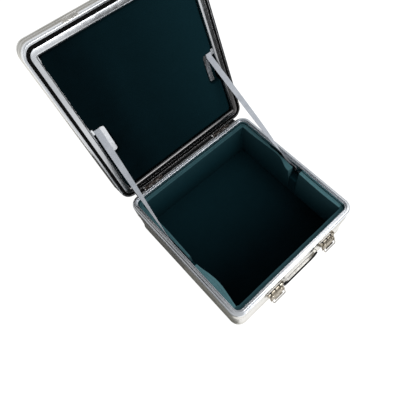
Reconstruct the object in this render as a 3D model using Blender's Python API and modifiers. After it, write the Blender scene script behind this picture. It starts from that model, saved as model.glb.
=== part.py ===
"""Drawn aluminium transport case with a hinged lid, two draw latches and a drop handle.

Frame: metres, +Z up, origin at the centre of the base shell's flat underside.
The front, with the latches and the handle, faces -Y. The hinges are at +Y.
The lid is modelled shut, about an empty on the hinge axis that holds it open.
"""
import math

import bmesh
import bpy
from mathutils import Matrix, Vector

# Plan of the case, measured between the inner faces of the base frame
OPENING_WIDTH = 0.445
OPENING_DEPTH = 0.445
OPENING_CORNER = 0.016
CORNER_STEPS = 7
BASE_DEPTH = 0.170
LID_DEPTH = 0.072
LID_OPEN_ANGLE = math.radians(110)

# Clearances between pieces that touch, and overrun of cutting tools
FIT_GAP = 0.0003
RUNNING_GAP = 0.0004
PARTING_GAP = 0.0005
CUT_OVERRUN = 0.002
WELD = 0.00001

# Base frame, an extrusion with an upright tongue
FRAME_WIDTH = 0.0158
LIP_THICK = 0.0014
LIP_DROP = 0.0006
CHANNEL_DROP = 0.0042
TONGUE_INSET = 0.0050
TONGUE_THICK = 0.0030
TONGUE_RISE = 0.0042
TONGUE_ROUND = 0.0009
SHOULDER_STEP = 0.0010
SHOULDER_DROP = 0.0022
SHOULDER_INSET = 0.0032
FRAME_ROUND = 0.0014
WEB_THICK = 0.0022
SKIRT_THICK = 0.0015
SKIRT_DEPTH = 0.0180
FLANGE_DEPTH = 0.0340

# Lid frame, an extrusion with a groove over the tongue and a broad inner band
GROOVE_WIDTH = 0.0080
GROOVE_DEPTH = 0.0074
BAND_REACH = 0.0150
BAND_THICK = 0.0018
BAND_ROLL = 0.0070
BAND_ROLL_STEPS = 4
BAND_LEG = 0.0240
GASKET_BEAD = 0.0012

# Drawn shells, with a pair of rolled beads round the wall
SHELL_WALL = 0.0015
BEAD_HEIGHT = 0.0017
BEAD_WIDTH = 0.0100
BEAD_FIRST = 0.0330
BEAD_PITCH = 0.0165
FOOT_BEAD_RISE = 0.0220
FOOT_BEAD_HEIGHT = 0.0024
EDGE_RADIUS = 0.0130
EDGE_STEPS = 5

# Foam linings covered in cloth
LINING_FACE = 0.0140
LINING_DROP = 0.0120
LINING_ROUND = 0.0020
FLOOR_TOP = 0.0240
PANEL_GAP = 0.0006
CORNER_KEEP = 0.0020
STAY_GAP_FRONT = 0.0440
STAY_GAP_REAR = 0.0140
STAY_GAP_DEEP = 0.0580
FRONT_SEAM = 0.0450
PAD_SINK = 0.0088
PAD_ROUND = 0.0030
PAD_CORNER = 0.0120
PAD_CORNER_STEPS = 5

# Hinges, a pair of loose-leaf butts riveted to the back of both frames
HINGE_INSET = 0.0825
HINGE_KNUCKLES = 5
KNUCKLE_LENGTH = 0.0130
KNUCKLE_RADIUS = 0.0034
HINGE_PIN_RADIUS = 0.0016
HINGE_PIN_HEAD = 0.0024
LEAF_THICK = 0.0015
LEAF_HEIGHT = 0.0260

# Draw latches on the front of the base
LATCH_GAP = 0.0015
LATCH_WIDTH = 0.0580
LATCH_HEIGHT = 0.0440
LATCH_TOP_DROP = 0.0040
PLATE_THICK = 0.0015
CHEEK_REACH = 0.0100
CHEEK_HEIGHT = 0.0200
LEVER_PIN_DROP = 0.0090
LEVER_PIN_REACH = 0.0060
LEVER_PIN_RADIUS = 0.0014
LEVER_BARREL = 0.0031
LEVER_LENGTH = 0.0240
LEVER_THICK = 0.0014
LEVER_TAB_WIDTH = 0.0300
LEVER_TAB_LENGTH = 0.0045
LEVER_TAB_RISE = 0.0020
LEVER_OPEN_ANGLE = math.radians(30)
BAIL_RADIUS = 0.0013
BAIL_PIVOT = 0.0070
BAIL_LENGTH = 0.0270
BAIL_WIDTH = 0.0480
BAIL_BEND = 0.0036
LUG_SPACING = 0.0320
LUG_WIDTH = 0.0040
LUG_RADIUS = 0.0030
PLATE_ROUND = 0.0030

# Keepers on the front of the lid
KEEPER_WIDTH = 0.0380
KEEPER_TOP = 0.0170
KEEPER_LOW = 0.0030
KEEPER_REACH = 0.0062
KEEPER_CURL = 0.0036

# Drop handle between the latches, a flat steel bail edged with rubber
HANDLE_WIDTH = 0.128
HANDLE_DROP = 0.0400
HANDLE_BAR = 0.0090
HANDLE_THICK = 0.0032
HANDLE_BEND = 0.0140
HANDLE_BEND_STEPS = 5
HANDLE_EYE = 0.0050
HANDLE_PIN_RADIUS = 0.0018
HANDLE_PIN_DROP = 0.0300
HANDLE_PIN_REACH = 0.0068
GRIP_THICK = 0.0064
GRIP_EDGE = 0.0022
BRACKET_EAR = 0.0026
BRACKET_REACH = 0.0096
BRACKET_FOOT = 0.0085
BRACKET_HEIGHT = 0.0170
BRACKET_THICK = 0.0018

# Webbing stays that hold the lid open, and what holds their ends
STAY_WIDTH = 0.0150
STAY_THICK = 0.0012
STAY_STEPS = 16
STAY_TWIST_LAG = 2
STAY_SLOT = 0.0050
STAY_SLOT_BACK = 0.0920
STAY_ANCHOR_BACK = -0.0100
STAY_ANCHOR_DROP = 0.0230
STAY_LEFT_BEND_BACK = 0.0780
STAY_LEFT_BEND_DROP = 0.0140
STAY_LEFT_BEND_INSET = 0.0026
STAY_LEFT_RUN_BACK = 0.0460
STAY_RIGHT_LEAD_BACK = 0.0050
STAY_RIGHT_LEAD_RISE = 0.0030
STAY_RIGHT_LEAD_INSET = 0.0009
STAY_LID_INSET = 0.0300
STAY_LID_EDGE = 0.2262
STAY_LID_SINK = 0.0114
STAY_TAIL = 0.0170
ANCHOR_LENGTH = 0.0240
ANCHOR_HEIGHT = 0.0160
ANCHOR_THICK = 0.0014
CLAMP_THICK = 0.0015
CLAMP_REACH = 0.0513
CLAMP_TAB_WIDTH = 0.0150
CLAMP_TAB_LENGTH = 0.0690
CLAMP_TAB_ROUND = 0.0060
CLAMP_FLANGE = 0.0075
NOTCH_SIDE_GAP = 0.0010
NOTCH_FOOT_GAP = 0.0080
NOTCH_FLAP = 0.0024
NOTCH_DEEP = 0.0200

# Places worked out from the sizes above
HALF_WIDTH = OPENING_WIDTH / 2
HALF_DEPTH = OPENING_DEPTH / 2
RIM = BASE_DEPTH
FRONT_FACE = -(HALF_DEPTH + FRAME_WIDTH)
TONGUE_CENTRE = TONGUE_INSET + TONGUE_THICK / 2
GROOVE_IN = TONGUE_CENTRE - GROOVE_WIDTH / 2
GROOVE_OUT = TONGUE_CENTRE + GROOVE_WIDTH / 2
SHELL_OUTSET = FRAME_WIDTH - SKIRT_THICK - FIT_GAP
SHELL_INNER = SHELL_OUTSET - SHELL_WALL
FRAME_UNDER = CHANNEL_DROP + WEB_THICK
HINGE_OUTSET = FRAME_WIDTH + FIT_GAP + KNUCKLE_RADIUS
HINGE_Y = HALF_DEPTH + HINGE_OUTSET
LID_INNER = LID_DEPTH - SHELL_WALL
BAIL_LIFT = BAIL_RADIUS + 2 * RUNNING_GAP
LATCH_TOP = RIM - LATCH_TOP_DROP
LEVER_PIN_Z = LATCH_TOP - LEVER_PIN_DROP
LEVER_PIN_Y = FRONT_FACE - FIT_GAP - PLATE_THICK - LEVER_PIN_REACH
BRACKET_END = HANDLE_WIDTH / 2 + RUNNING_GAP + BRACKET_EAR + BRACKET_FOOT
LATCH_X = BRACKET_END + LATCH_GAP + LATCH_WIDTH / 2
HANDLE_PIN_Z = RIM - HANDLE_PIN_DROP
HANDLE_PIN_Y = FRONT_FACE - FIT_GAP - HANDLE_PIN_REACH

# Finishes: name, colour, roughness and metallic
NICKEL = ("nickel_plated_steel", (0.62, 0.60, 0.57), 0.28, 1.0)
BRIGHT_ALUMINIUM = ("bright_aluminium_extrusion", (0.78, 0.79, 0.80), 0.25, 1.0)
DRAWN_ALUMINIUM = ("satin_drawn_aluminium", (0.66, 0.67, 0.67), 0.38, 1.0)
LINING_CLOTH = ("teal_lining_cloth", (0.008, 0.034, 0.040), 0.95, 0.0)
WEBBING = ("grey_webbing", (0.56, 0.58, 0.62), 0.65, 0.0)
NEOPRENE = ("black_neoprene", (0.012, 0.012, 0.012), 0.70, 0.0)
RUBBER = ("black_rubber", (0.020, 0.020, 0.020), 0.80, 0.0)
BLACK_ENAMEL = ("black_enamelled_steel", (0.010, 0.010, 0.010), 0.35, 0.0)


def clear_scene():
    """Remove every object and make the two collections."""
    for old in list(bpy.data.objects):
        bpy.data.objects.remove(old, do_unlink=True)
    for name in ("transport_case", "cutters"):
        bpy.context.scene.collection.children.link(bpy.data.collections.new(name))


def material(finish):
    """Return the Principled material of a finish, made once."""
    name, colour, roughness, metallic = finish
    found = bpy.data.materials.get(name)
    if found:
        return found
    made = bpy.data.materials.new(name)
    made.use_nodes = True
    shader = made.node_tree.nodes["Principled BSDF"]
    shader.inputs["Base Color"].default_value = (*colour, 1.0)
    shader.inputs["Roughness"].default_value = roughness
    shader.inputs["Metallic"].default_value = metallic
    return made


def finish_object(name, bm, finish, parent=None, location=(0, 0, 0), smooth=True):
    """Turn a bmesh into a named part on its parent."""
    bmesh.ops.remove_doubles(bm, verts=bm.verts, dist=WELD)
    bmesh.ops.recalc_face_normals(bm, faces=bm.faces)
    mesh = bpy.data.meshes.new(name)
    bm.to_mesh(mesh)
    bm.free()
    if smooth:
        mesh.shade_smooth()
        mesh.set_sharp_from_angle(angle=math.radians(32))
    mesh.materials.append(material(finish))
    made = bpy.data.objects.new(name, mesh)
    bpy.data.collections["transport_case"].objects.link(made)
    made.location = location
    made.parent = parent
    return made


def axis_empty(name, location, angle=0.0, parent=None):
    """Make an empty on a joint's axis, turned about X by the angle at rest."""
    made = bpy.data.objects.new(name, None)
    bpy.data.collections["transport_case"].objects.link(made)
    made.location = location
    made.rotation_euler = (angle, 0, 0)
    made.parent = parent
    return made


def cut(target, cutter_bm, name, location=(0, 0, 0)):
    """Take a cutter away from a part, in the part's own space."""
    bmesh.ops.recalc_face_normals(cutter_bm, faces=cutter_bm.faces)
    mesh = bpy.data.meshes.new(name)
    cutter_bm.to_mesh(mesh)
    cutter_bm.free()
    tool = bpy.data.objects.new(name, mesh)
    bpy.data.collections["cutters"].objects.link(tool)
    tool.parent = target
    tool.location = location
    tool.hide_render = True
    tool.display_type = "WIRE"
    step = target.modifiers.new(name, "BOOLEAN")
    step.operation = "DIFFERENCE"
    step.object = tool


def box(bm, low, high):
    """Add a box between two corners and return its vertices."""
    made = bmesh.ops.create_cube(bm, size=1.0)["verts"]
    size = Vector(high) - Vector(low)
    bmesh.ops.scale(bm, vec=size, verts=made)
    bmesh.ops.translate(bm, vec=(Vector(high) + Vector(low)) / 2, verts=made)
    return made


def rod(bm, radius, start, end, sides):
    """Add a round bar between two points."""
    start, end = Vector(start), Vector(end)
    along = end - start
    turn = Vector((0, 0, 1)).rotation_difference(along).to_matrix().to_4x4()
    place = Matrix.Translation((start + end) / 2) @ turn
    return bmesh.ops.create_cone(bm, cap_ends=True, segments=sides, radius1=radius,
                                 radius2=radius, depth=along.length, matrix=place)["verts"]


def turned(bm, profile, sides):
    """Turn a profile of (x, radius) points about the X axis."""
    verts = [bm.verts.new((x, radius, 0)) for x, radius in profile]
    edges = [bm.edges.new(pair) for pair in zip(verts, verts[1:])]
    bmesh.ops.spin(bm, geom=verts + edges, cent=(0, 0, 0), axis=(1, 0, 0), angle=math.tau, steps=sides)
    bmesh.ops.remove_doubles(bm, verts=bm.verts, dist=WELD)


def arc(centre, radius, start, end, steps):
    """Points of an arc in a section's plane, from one angle to another in degrees."""
    angles = [math.radians(start + (end - start) * i / steps) for i in range(steps + 1)]
    return [(centre[0] + radius * math.cos(a), centre[1] + radius * math.sin(a)) for a in angles]


def slab(bm, outline, thickness, place=Matrix.Identity(4)):
    """Fill an outline in the XY plane, give it a thickness along Z and place it."""
    verts = [bm.verts.new(place @ Vector((x, y, 0))) for x, y in outline]
    edges = [bm.edges.new(pair) for pair in zip(verts, verts[1:] + verts[:1])]
    face = bmesh.ops.edgeloop_fill(bm, edges=edges)["faces"][0]
    grown = bmesh.ops.extrude_face_region(bm, geom=[face])["geom"]
    moved = [v for v in grown if isinstance(v, bmesh.types.BMVert)]
    bmesh.ops.translate(bm, vec=place.to_3x3() @ Vector((0, 0, thickness)), verts=moved)
    return verts + moved


def across_x(start):
    """Placement that lays a (Y, Z) outline down and pushes it along +X from a start."""
    turn = Matrix(((0, 0, 1, 0), (1, 0, 0, 0), (0, 1, 0, 0), (0, 0, 0, 1)))
    return Matrix.Translation((start, 0, 0)) @ turn


def rounded_plate(width, height, radius, steps=3):
    """Outline of a plate with rounded corners, centred on the origin."""
    points = []
    half_w, half_h = width / 2 - radius, height / 2 - radius
    for turn, (sx, sy) in enumerate(((1, 1), (-1, 1), (-1, -1), (1, -1))):
        points += arc((sx * half_w, sy * half_h), radius, 90 * turn, 90 * turn + 90, steps)
    return points


def sweep_round_plan(bm, section, closed):
    """Sweep a section of (outset, height) points round the case's rounded plan."""
    corner_x, corner_y = HALF_WIDTH - OPENING_CORNER, HALF_DEPTH - OPENING_CORNER
    corners = [(corner_x, corner_y), (-corner_x, corner_y), (-corner_x, -corner_y), (corner_x, -corner_y)]
    first = [bm.verts.new((corner_x + OPENING_CORNER + out, corner_y, up)) for out, up in section]
    pairs = list(zip(first, first[1:] + first[:1])) if closed else list(zip(first, first[1:]))
    edges = [bm.edges.new(pair) for pair in pairs]
    for here, there in zip(corners, corners[1:] + corners[:1]):
        spun = bmesh.ops.spin(bm, geom=edges + list({v for e in edges for v in e.verts}), cent=(*here, 0),
                              axis=(0, 0, 1), angle=math.pi / 2, steps=CORNER_STEPS)
        edges = [g for g in spun["geom_last"] if isinstance(g, bmesh.types.BMEdge)]
        run = bmesh.ops.extrude_edge_only(bm, edges=edges)["geom"]
        edges = [g for g in run if isinstance(g, bmesh.types.BMEdge) and g not in edges]
        ends = [g for g in run if isinstance(g, bmesh.types.BMVert)]
        bmesh.ops.translate(bm, vec=(there[0] - here[0], there[1] - here[1], 0), verts=ends)
        edges = [e for e in edges if all(v in ends for v in e.verts)]
    bmesh.ops.remove_doubles(bm, verts=bm.verts, dist=WELD)


def fill_ends(bm):
    """Close every open loop with a face."""
    bmesh.ops.holes_fill(bm, edges=[e for e in bm.edges if e.is_boundary], sides=0)


def base_frame_section():
    """Outline of the base extrusion: lip, channel, tongue, shoulder, skirt and flange."""
    tongue_out = TONGUE_INSET + TONGUE_THICK
    shoulder = FRAME_WIDTH - SHOULDER_INSET
    web_in = LIP_THICK
    return [
        (0, RIM - LIP_DROP), (LIP_THICK, RIM - LIP_DROP), (LIP_THICK, RIM - CHANNEL_DROP),
        (TONGUE_INSET, RIM - CHANNEL_DROP), (TONGUE_INSET, RIM + TONGUE_RISE - TONGUE_ROUND),
        (TONGUE_INSET + TONGUE_ROUND, RIM + TONGUE_RISE), (tongue_out - TONGUE_ROUND, RIM + TONGUE_RISE),
        (tongue_out, RIM + TONGUE_RISE - TONGUE_ROUND), (tongue_out, RIM - SHOULDER_STEP),
        (shoulder, RIM - SHOULDER_STEP), (shoulder + SHOULDER_STEP, RIM - SHOULDER_DROP),
        (FRAME_WIDTH - FRAME_ROUND, RIM - SHOULDER_DROP), (FRAME_WIDTH, RIM - SHOULDER_DROP - FRAME_ROUND),
        (FRAME_WIDTH, RIM - SKIRT_DEPTH), (FRAME_WIDTH - SKIRT_THICK, RIM - SKIRT_DEPTH),
        (FRAME_WIDTH - SKIRT_THICK, RIM - FRAME_UNDER), (web_in, RIM - FRAME_UNDER),
        (web_in, RIM - FLANGE_DEPTH), (0, RIM - FLANGE_DEPTH),
    ]


def lid_frame_section():
    """Outline of the lid extrusion, heights counted up from the rim's plane."""
    roof = GROOVE_DEPTH + WEB_THICK
    low = PARTING_GAP
    roll = (BAND_ROLL - BAND_REACH, low + BAND_ROLL)
    return [
        (GROOVE_OUT, low), (FRAME_WIDTH - FRAME_ROUND, low), (FRAME_WIDTH, low + FRAME_ROUND),
        (FRAME_WIDTH, SKIRT_DEPTH), (FRAME_WIDTH - SKIRT_THICK, SKIRT_DEPTH),
        (FRAME_WIDTH - SKIRT_THICK, roof), (GROOVE_IN - WEB_THICK, roof),
        (GROOVE_IN - WEB_THICK, low + BAND_THICK),
        *arc(roll, BAND_ROLL - BAND_THICK, 270, 180, BAND_ROLL_STEPS),
        (-BAND_REACH + BAND_THICK, BAND_LEG), (-BAND_REACH, BAND_LEG),
        *arc(roll, BAND_ROLL, 180, 270, BAND_ROLL_STEPS), (GROOVE_IN, low),
        (GROOVE_IN, GROOVE_DEPTH), (GROOVE_OUT, GROOVE_DEPTH),
    ]


def gasket_section():
    """Outline of the gasket in the groove's roof, with one soft bead over the tongue."""
    left, right = GROOVE_IN + FIT_GAP, GROOVE_OUT - FIT_GAP
    top, face = GROOVE_DEPTH - FIT_GAP, TONGUE_RISE + FIT_GAP + GASKET_BEAD
    bead = arc((TONGUE_CENTRE, face), GASKET_BEAD, 360, 180, 3)
    return [(left, top), (right, top), (right, face)] + bead + [(left, face)]


def bead_points(middle, height):
    """Outer points of one rolled bead, from its upper edge down."""
    points = []
    for i in range(5):
        share = i / 4
        swell = height * math.sin(math.pi * share)
        points.append((SHELL_OUTSET + swell, middle + BEAD_WIDTH * (0.5 - share)))
    return points


def shell_section(rim_height, edge_depth, foot_bead_height, flat_height):
    """Outer face of a drawn shell, from its open edge to the start of its flat."""
    toward_flat = 1 if flat_height > rim_height else -1
    points = [(SHELL_OUTSET, rim_height + toward_flat * (edge_depth + FIT_GAP))]
    for middle in (BEAD_FIRST, BEAD_FIRST + BEAD_PITCH):
        bead = bead_points(rim_height + toward_flat * middle, BEAD_HEIGHT)
        points += bead if toward_flat < 0 else bead[::-1]
    if foot_bead_height:
        points += bead_points(flat_height + FOOT_BEAD_RISE, foot_bead_height)
    centre = (SHELL_OUTSET - EDGE_RADIUS, flat_height - toward_flat * EDGE_RADIUS)
    points += arc(centre, EDGE_RADIUS, 0, toward_flat * 90, EDGE_STEPS)
    return points


def drawn_shell(name, section, parent=None, location=(0, 0, 0)):
    """Sweep a shell's outer face, close its flat and give it the wall's thickness."""
    bm = bmesh.new()
    sweep_round_plan(bm, section, closed=False)
    flat = section[-1][1]
    rim = [e for e in bm.edges if e.is_boundary and all(abs(v.co.z - flat) < WELD for v in e.verts)]
    bmesh.ops.holes_fill(bm, edges=rim, sides=0)
    bmesh.ops.recalc_face_normals(bm, faces=bm.faces)
    flat_face = max(bm.faces, key=lambda f: f.calc_area())
    outward = flat - section[0][1]
    if flat_face.normal.z * outward < 0:
        bmesh.ops.reverse_faces(bm, faces=bm.faces)
    mesh = bpy.data.meshes.new(name)
    bm.to_mesh(mesh)
    bm.free()
    mesh.shade_smooth()
    mesh.set_sharp_from_angle(angle=math.radians(40))
    mesh.materials.append(material(DRAWN_ALUMINIUM))
    made = bpy.data.objects.new(name, mesh)
    bpy.data.collections["transport_case"].objects.link(made)
    made.location = location
    made.parent = parent
    wall = made.modifiers.new("wall", "SOLIDIFY")
    wall.thickness = SHELL_WALL
    wall.offset = -1
    wall.use_even_offset = True
    return made


def swept_part(name, section, finish, parent=None, location=(0, 0, 0)):
    """A ring of constant section round the case."""
    bm = bmesh.new()
    sweep_round_plan(bm, section, closed=True)
    return finish_object(name, bm, finish, parent, location)


def plan_block(bm, outset, low, high):
    """A solid block that follows the case's plan."""
    sweep_round_plan(bm, [(outset, low), (outset, high)], closed=False)
    fill_ends(bm)


def make_lining_panel(name, keep):
    """Cut one foam panel from a ring of lining by the planes given."""
    outer = SHELL_INNER - FIT_GAP
    ledge = RIM - FLANGE_DEPTH - FIT_GAP
    top = RIM - LINING_DROP
    low = FLOOR_TOP + FIT_GAP
    section = [
        (-LINING_FACE + LINING_ROUND, top), (-FIT_GAP, top), (-FIT_GAP, ledge), (outer, ledge),
        (outer, low), (-LINING_FACE, low), (-LINING_FACE, top - LINING_ROUND),
    ]
    bm = bmesh.new()
    sweep_round_plan(bm, section, closed=True)
    for point, normal in keep:
        parts = list(bm.verts) + list(bm.edges) + list(bm.faces)
        bmesh.ops.bisect_plane(bm, geom=parts, dist=WELD / 10, plane_co=point, plane_no=normal,
                               clear_outer=True)
        fill_ends(bm)
    return finish_object(name, bm, LINING_CLOTH, smooth=False)


def base_linings():
    """Floor pad and six side panels, parted at the stays and at the front seam."""
    bm = bmesh.new()
    plan_block(bm, SHELL_INNER - EDGE_RADIUS + SHELL_WALL, SHELL_WALL + FIT_GAP, FLOOR_TOP)
    finish_object("base_lining_floor", bm, LINING_CLOTH, smooth=False)
    face_y = HALF_DEPTH - LINING_FACE - CORNER_KEEP
    joint_y = face_y - PANEL_GAP
    rear = [((0, face_y, 0), (0, -1, 0))]
    make_lining_panel("base_lining_rear", rear)
    for side, way in (("left", -1), ("right", 1)):
        half = ((0, 0, 0), (-way, 0, 0))
        back = [half, ((0, joint_y, 0), (0, 1, 0)), ((0, PANEL_GAP - STAY_GAP_FRONT, 0), (0, -1, 0))]
        front = [half, ((0, -STAY_GAP_FRONT, 0), (0, 1, 0)), ((0, -joint_y, 0), (0, -1, 0))]
        make_lining_panel(f"base_lining_{side}_front", front)
        panel = make_lining_panel(f"base_lining_{side}_rear", back)
        slot = bmesh.new()
        wall = way * (HALF_WIDTH + CUT_OVERRUN)
        face = way * (HALF_WIDTH - STAY_SLOT)
        low = (min(wall, face), -STAY_GAP_REAR - CUT_OVERRUN, RIM - FLANGE_DEPTH - CUT_OVERRUN)
        high = (max(wall, face), STAY_SLOT_BACK, RIM)
        box(slot, low, high)
        cut(panel, slot, f"stay_slot_{side}")
        gap = bmesh.new()
        near, far = way * (HALF_WIDTH - LINING_FACE - CUT_OVERRUN), way * (HALF_WIDTH + SHELL_OUTSET)
        low = (min(near, far), -STAY_GAP_FRONT - CUT_OVERRUN, RIM - STAY_GAP_DEEP)
        box(gap, low, (max(near, far), -STAY_GAP_REAR, RIM))
        cut(panel, gap, f"stay_gap_{side}")
    front_plane = ((0, -face_y, 0), (0, 1, 0))
    seam = -FRONT_SEAM
    make_lining_panel("base_lining_front_left", [front_plane, ((seam - PANEL_GAP / 2, 0, 0), (1, 0, 0))])
    make_lining_panel("base_lining_front_right", [front_plane, ((seam + PANEL_GAP / 2, 0, 0), (-1, 0, 0))])


def barrel_outline(radius, thick, length, up):
    """Section of a flat leaf whose end is rolled into a barrel about the origin."""
    inner = thick - radius
    meet = up * math.degrees(math.acos(inner / radius))
    return arc((0, 0), radius, -up * 180, meet, 12) + [(inner, up * length), (-radius, up * length)]


def hinge_leaf(name, x, up, parent, first):
    """One leaf of a butt hinge, with every other knuckle cut away round its own pin axis."""
    bm = bmesh.new()
    width = HINGE_KNUCKLES * KNUCKLE_LENGTH
    slab(bm, barrel_outline(KNUCKLE_RADIUS, LEAF_THICK, LEAF_HEIGHT, up), width, across_x(-width / 2))
    leaf = finish_object(name, bm, NICKEL, parent, (x, 0, 0))
    deep = KNUCKLE_RADIUS + CUT_OVERRUN
    for i in range(1 - first, HINGE_KNUCKLES, 2):
        start = i * KNUCKLE_LENGTH - width / 2
        end = start + KNUCKLE_LENGTH
        start = start - CUT_OVERRUN if i == 0 else start - RUNNING_GAP / 2
        end = end + CUT_OVERRUN if i == HINGE_KNUCKLES - 1 else end + RUNNING_GAP / 2
        top = up * (KNUCKLE_RADIUS + RUNNING_GAP)
        gap = bmesh.new()
        box(gap, (start, -deep, min(top, -up * deep)), (end, deep, max(top, -up * deep)))
        cut(leaf, gap, f"{name}_gap_{i}")
    bore = bmesh.new()
    reach = width / 2 + CUT_OVERRUN
    rod(bore, HINGE_PIN_RADIUS + RUNNING_GAP, (-reach, 0, 0), (reach, 0, 0), 12)
    cut(leaf, bore, f"{name}_bore")


def add_solid(target, bm, name):
    """Fuse a further solid onto a part."""
    bmesh.ops.recalc_face_normals(bm, faces=bm.faces)
    mesh = bpy.data.meshes.new(name)
    bm.to_mesh(mesh)
    bm.free()
    tool = bpy.data.objects.new(name, mesh)
    bpy.data.collections["cutters"].objects.link(tool)
    tool.parent = target
    tool.hide_render = True
    tool.display_type = "WIRE"
    step = target.modifiers.new(name, "BOOLEAN")
    step.operation = "UNION"
    step.object = tool


def facing(place):
    """Placement that stands an (X, Z) outline up and thickens it along +Y."""
    return Matrix.Translation(place) @ Matrix(((1, 0, 0, 0), (0, 0, 1, 0), (0, 1, 0, 0), (0, 0, 0, 1)))


def wire(bm, points, radius, sides, closed=False):
    """Loft a round wire through the points of a path."""
    path = [Vector(p) for p in points]
    rings = []
    for i, here in enumerate(path):
        before = path[i - 1] if closed or i else here
        after = path[(i + 1) % len(path)] if closed or i < len(path) - 1 else here
        along = ((here - before).normalized() + (after - here).normalized()).normalized()
        side = Vector((0, 1, 0))
        lift = along.cross(side).normalized()
        angles = [math.tau * k / sides for k in range(sides)]
        spokes = [radius * (math.cos(a) * side + math.sin(a) * lift) for a in angles]
        rings.append([bm.verts.new(here + spoke) for spoke in spokes])
    pairs = list(zip(rings, rings[1:]))
    if closed:
        pairs.append((rings[-1], rings[0]))
    for low, high in pairs:
        for k in range(sides):
            follow = (k + 1) % sides
            bm.faces.new((low[k], low[follow], high[follow], high[k]))
    if not closed:
        for ring in (rings[0], rings[-1]):
            bmesh.ops.contextual_create(bm, geom=ring)


def rounded_loop(half_width, low, high, radius, steps):
    """Points of a rounded rectangle in the XZ plane."""
    points = []
    corners = ((half_width, high), (-half_width, high), (-half_width, low), (half_width, low))
    for turn, (x, z) in enumerate(corners):
        cx = x - math.copysign(radius, x)
        cz = z - radius if z == high else z + radius
        points += [(px, 0, pz) for px, pz in arc((cx, cz), radius, 90 * turn, 90 * turn + 90, steps)]
    return points


def hinges(lid):
    """Two butt hinges: a leaf on each frame, knuckles between, a pin through each."""
    shut = bpy.data.objects.new("hinge_shut_frame", None)
    bpy.data.collections["transport_case"].objects.link(shut)
    shut.location = (0, HINGE_Y, RIM)
    for side, way in (("left", -1), ("right", 1)):
        x = way * (HALF_WIDTH - HINGE_INSET)
        hinge_leaf(f"hinge_leaf_base_{side}", x, -1, shut, 0)
        hinge_leaf(f"hinge_leaf_lid_{side}", x, 1, lid, 1)
        bm = bmesh.new()
        reach = HINGE_KNUCKLES * KNUCKLE_LENGTH / 2
        neck = reach + RUNNING_GAP
        end = neck + HINGE_PIN_RADIUS
        turned(bm, [(-end, 0), (-end, HINGE_PIN_HEAD), (-neck, HINGE_PIN_HEAD), (-neck, HINGE_PIN_RADIUS),
                    (neck, HINGE_PIN_RADIUS), (neck, HINGE_PIN_HEAD), (end, HINGE_PIN_HEAD), (end, 0)], 12)
        finish_object(f"hinge_pin_{side}", bm, NICKEL, shut, (x, 0, 0))


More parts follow.
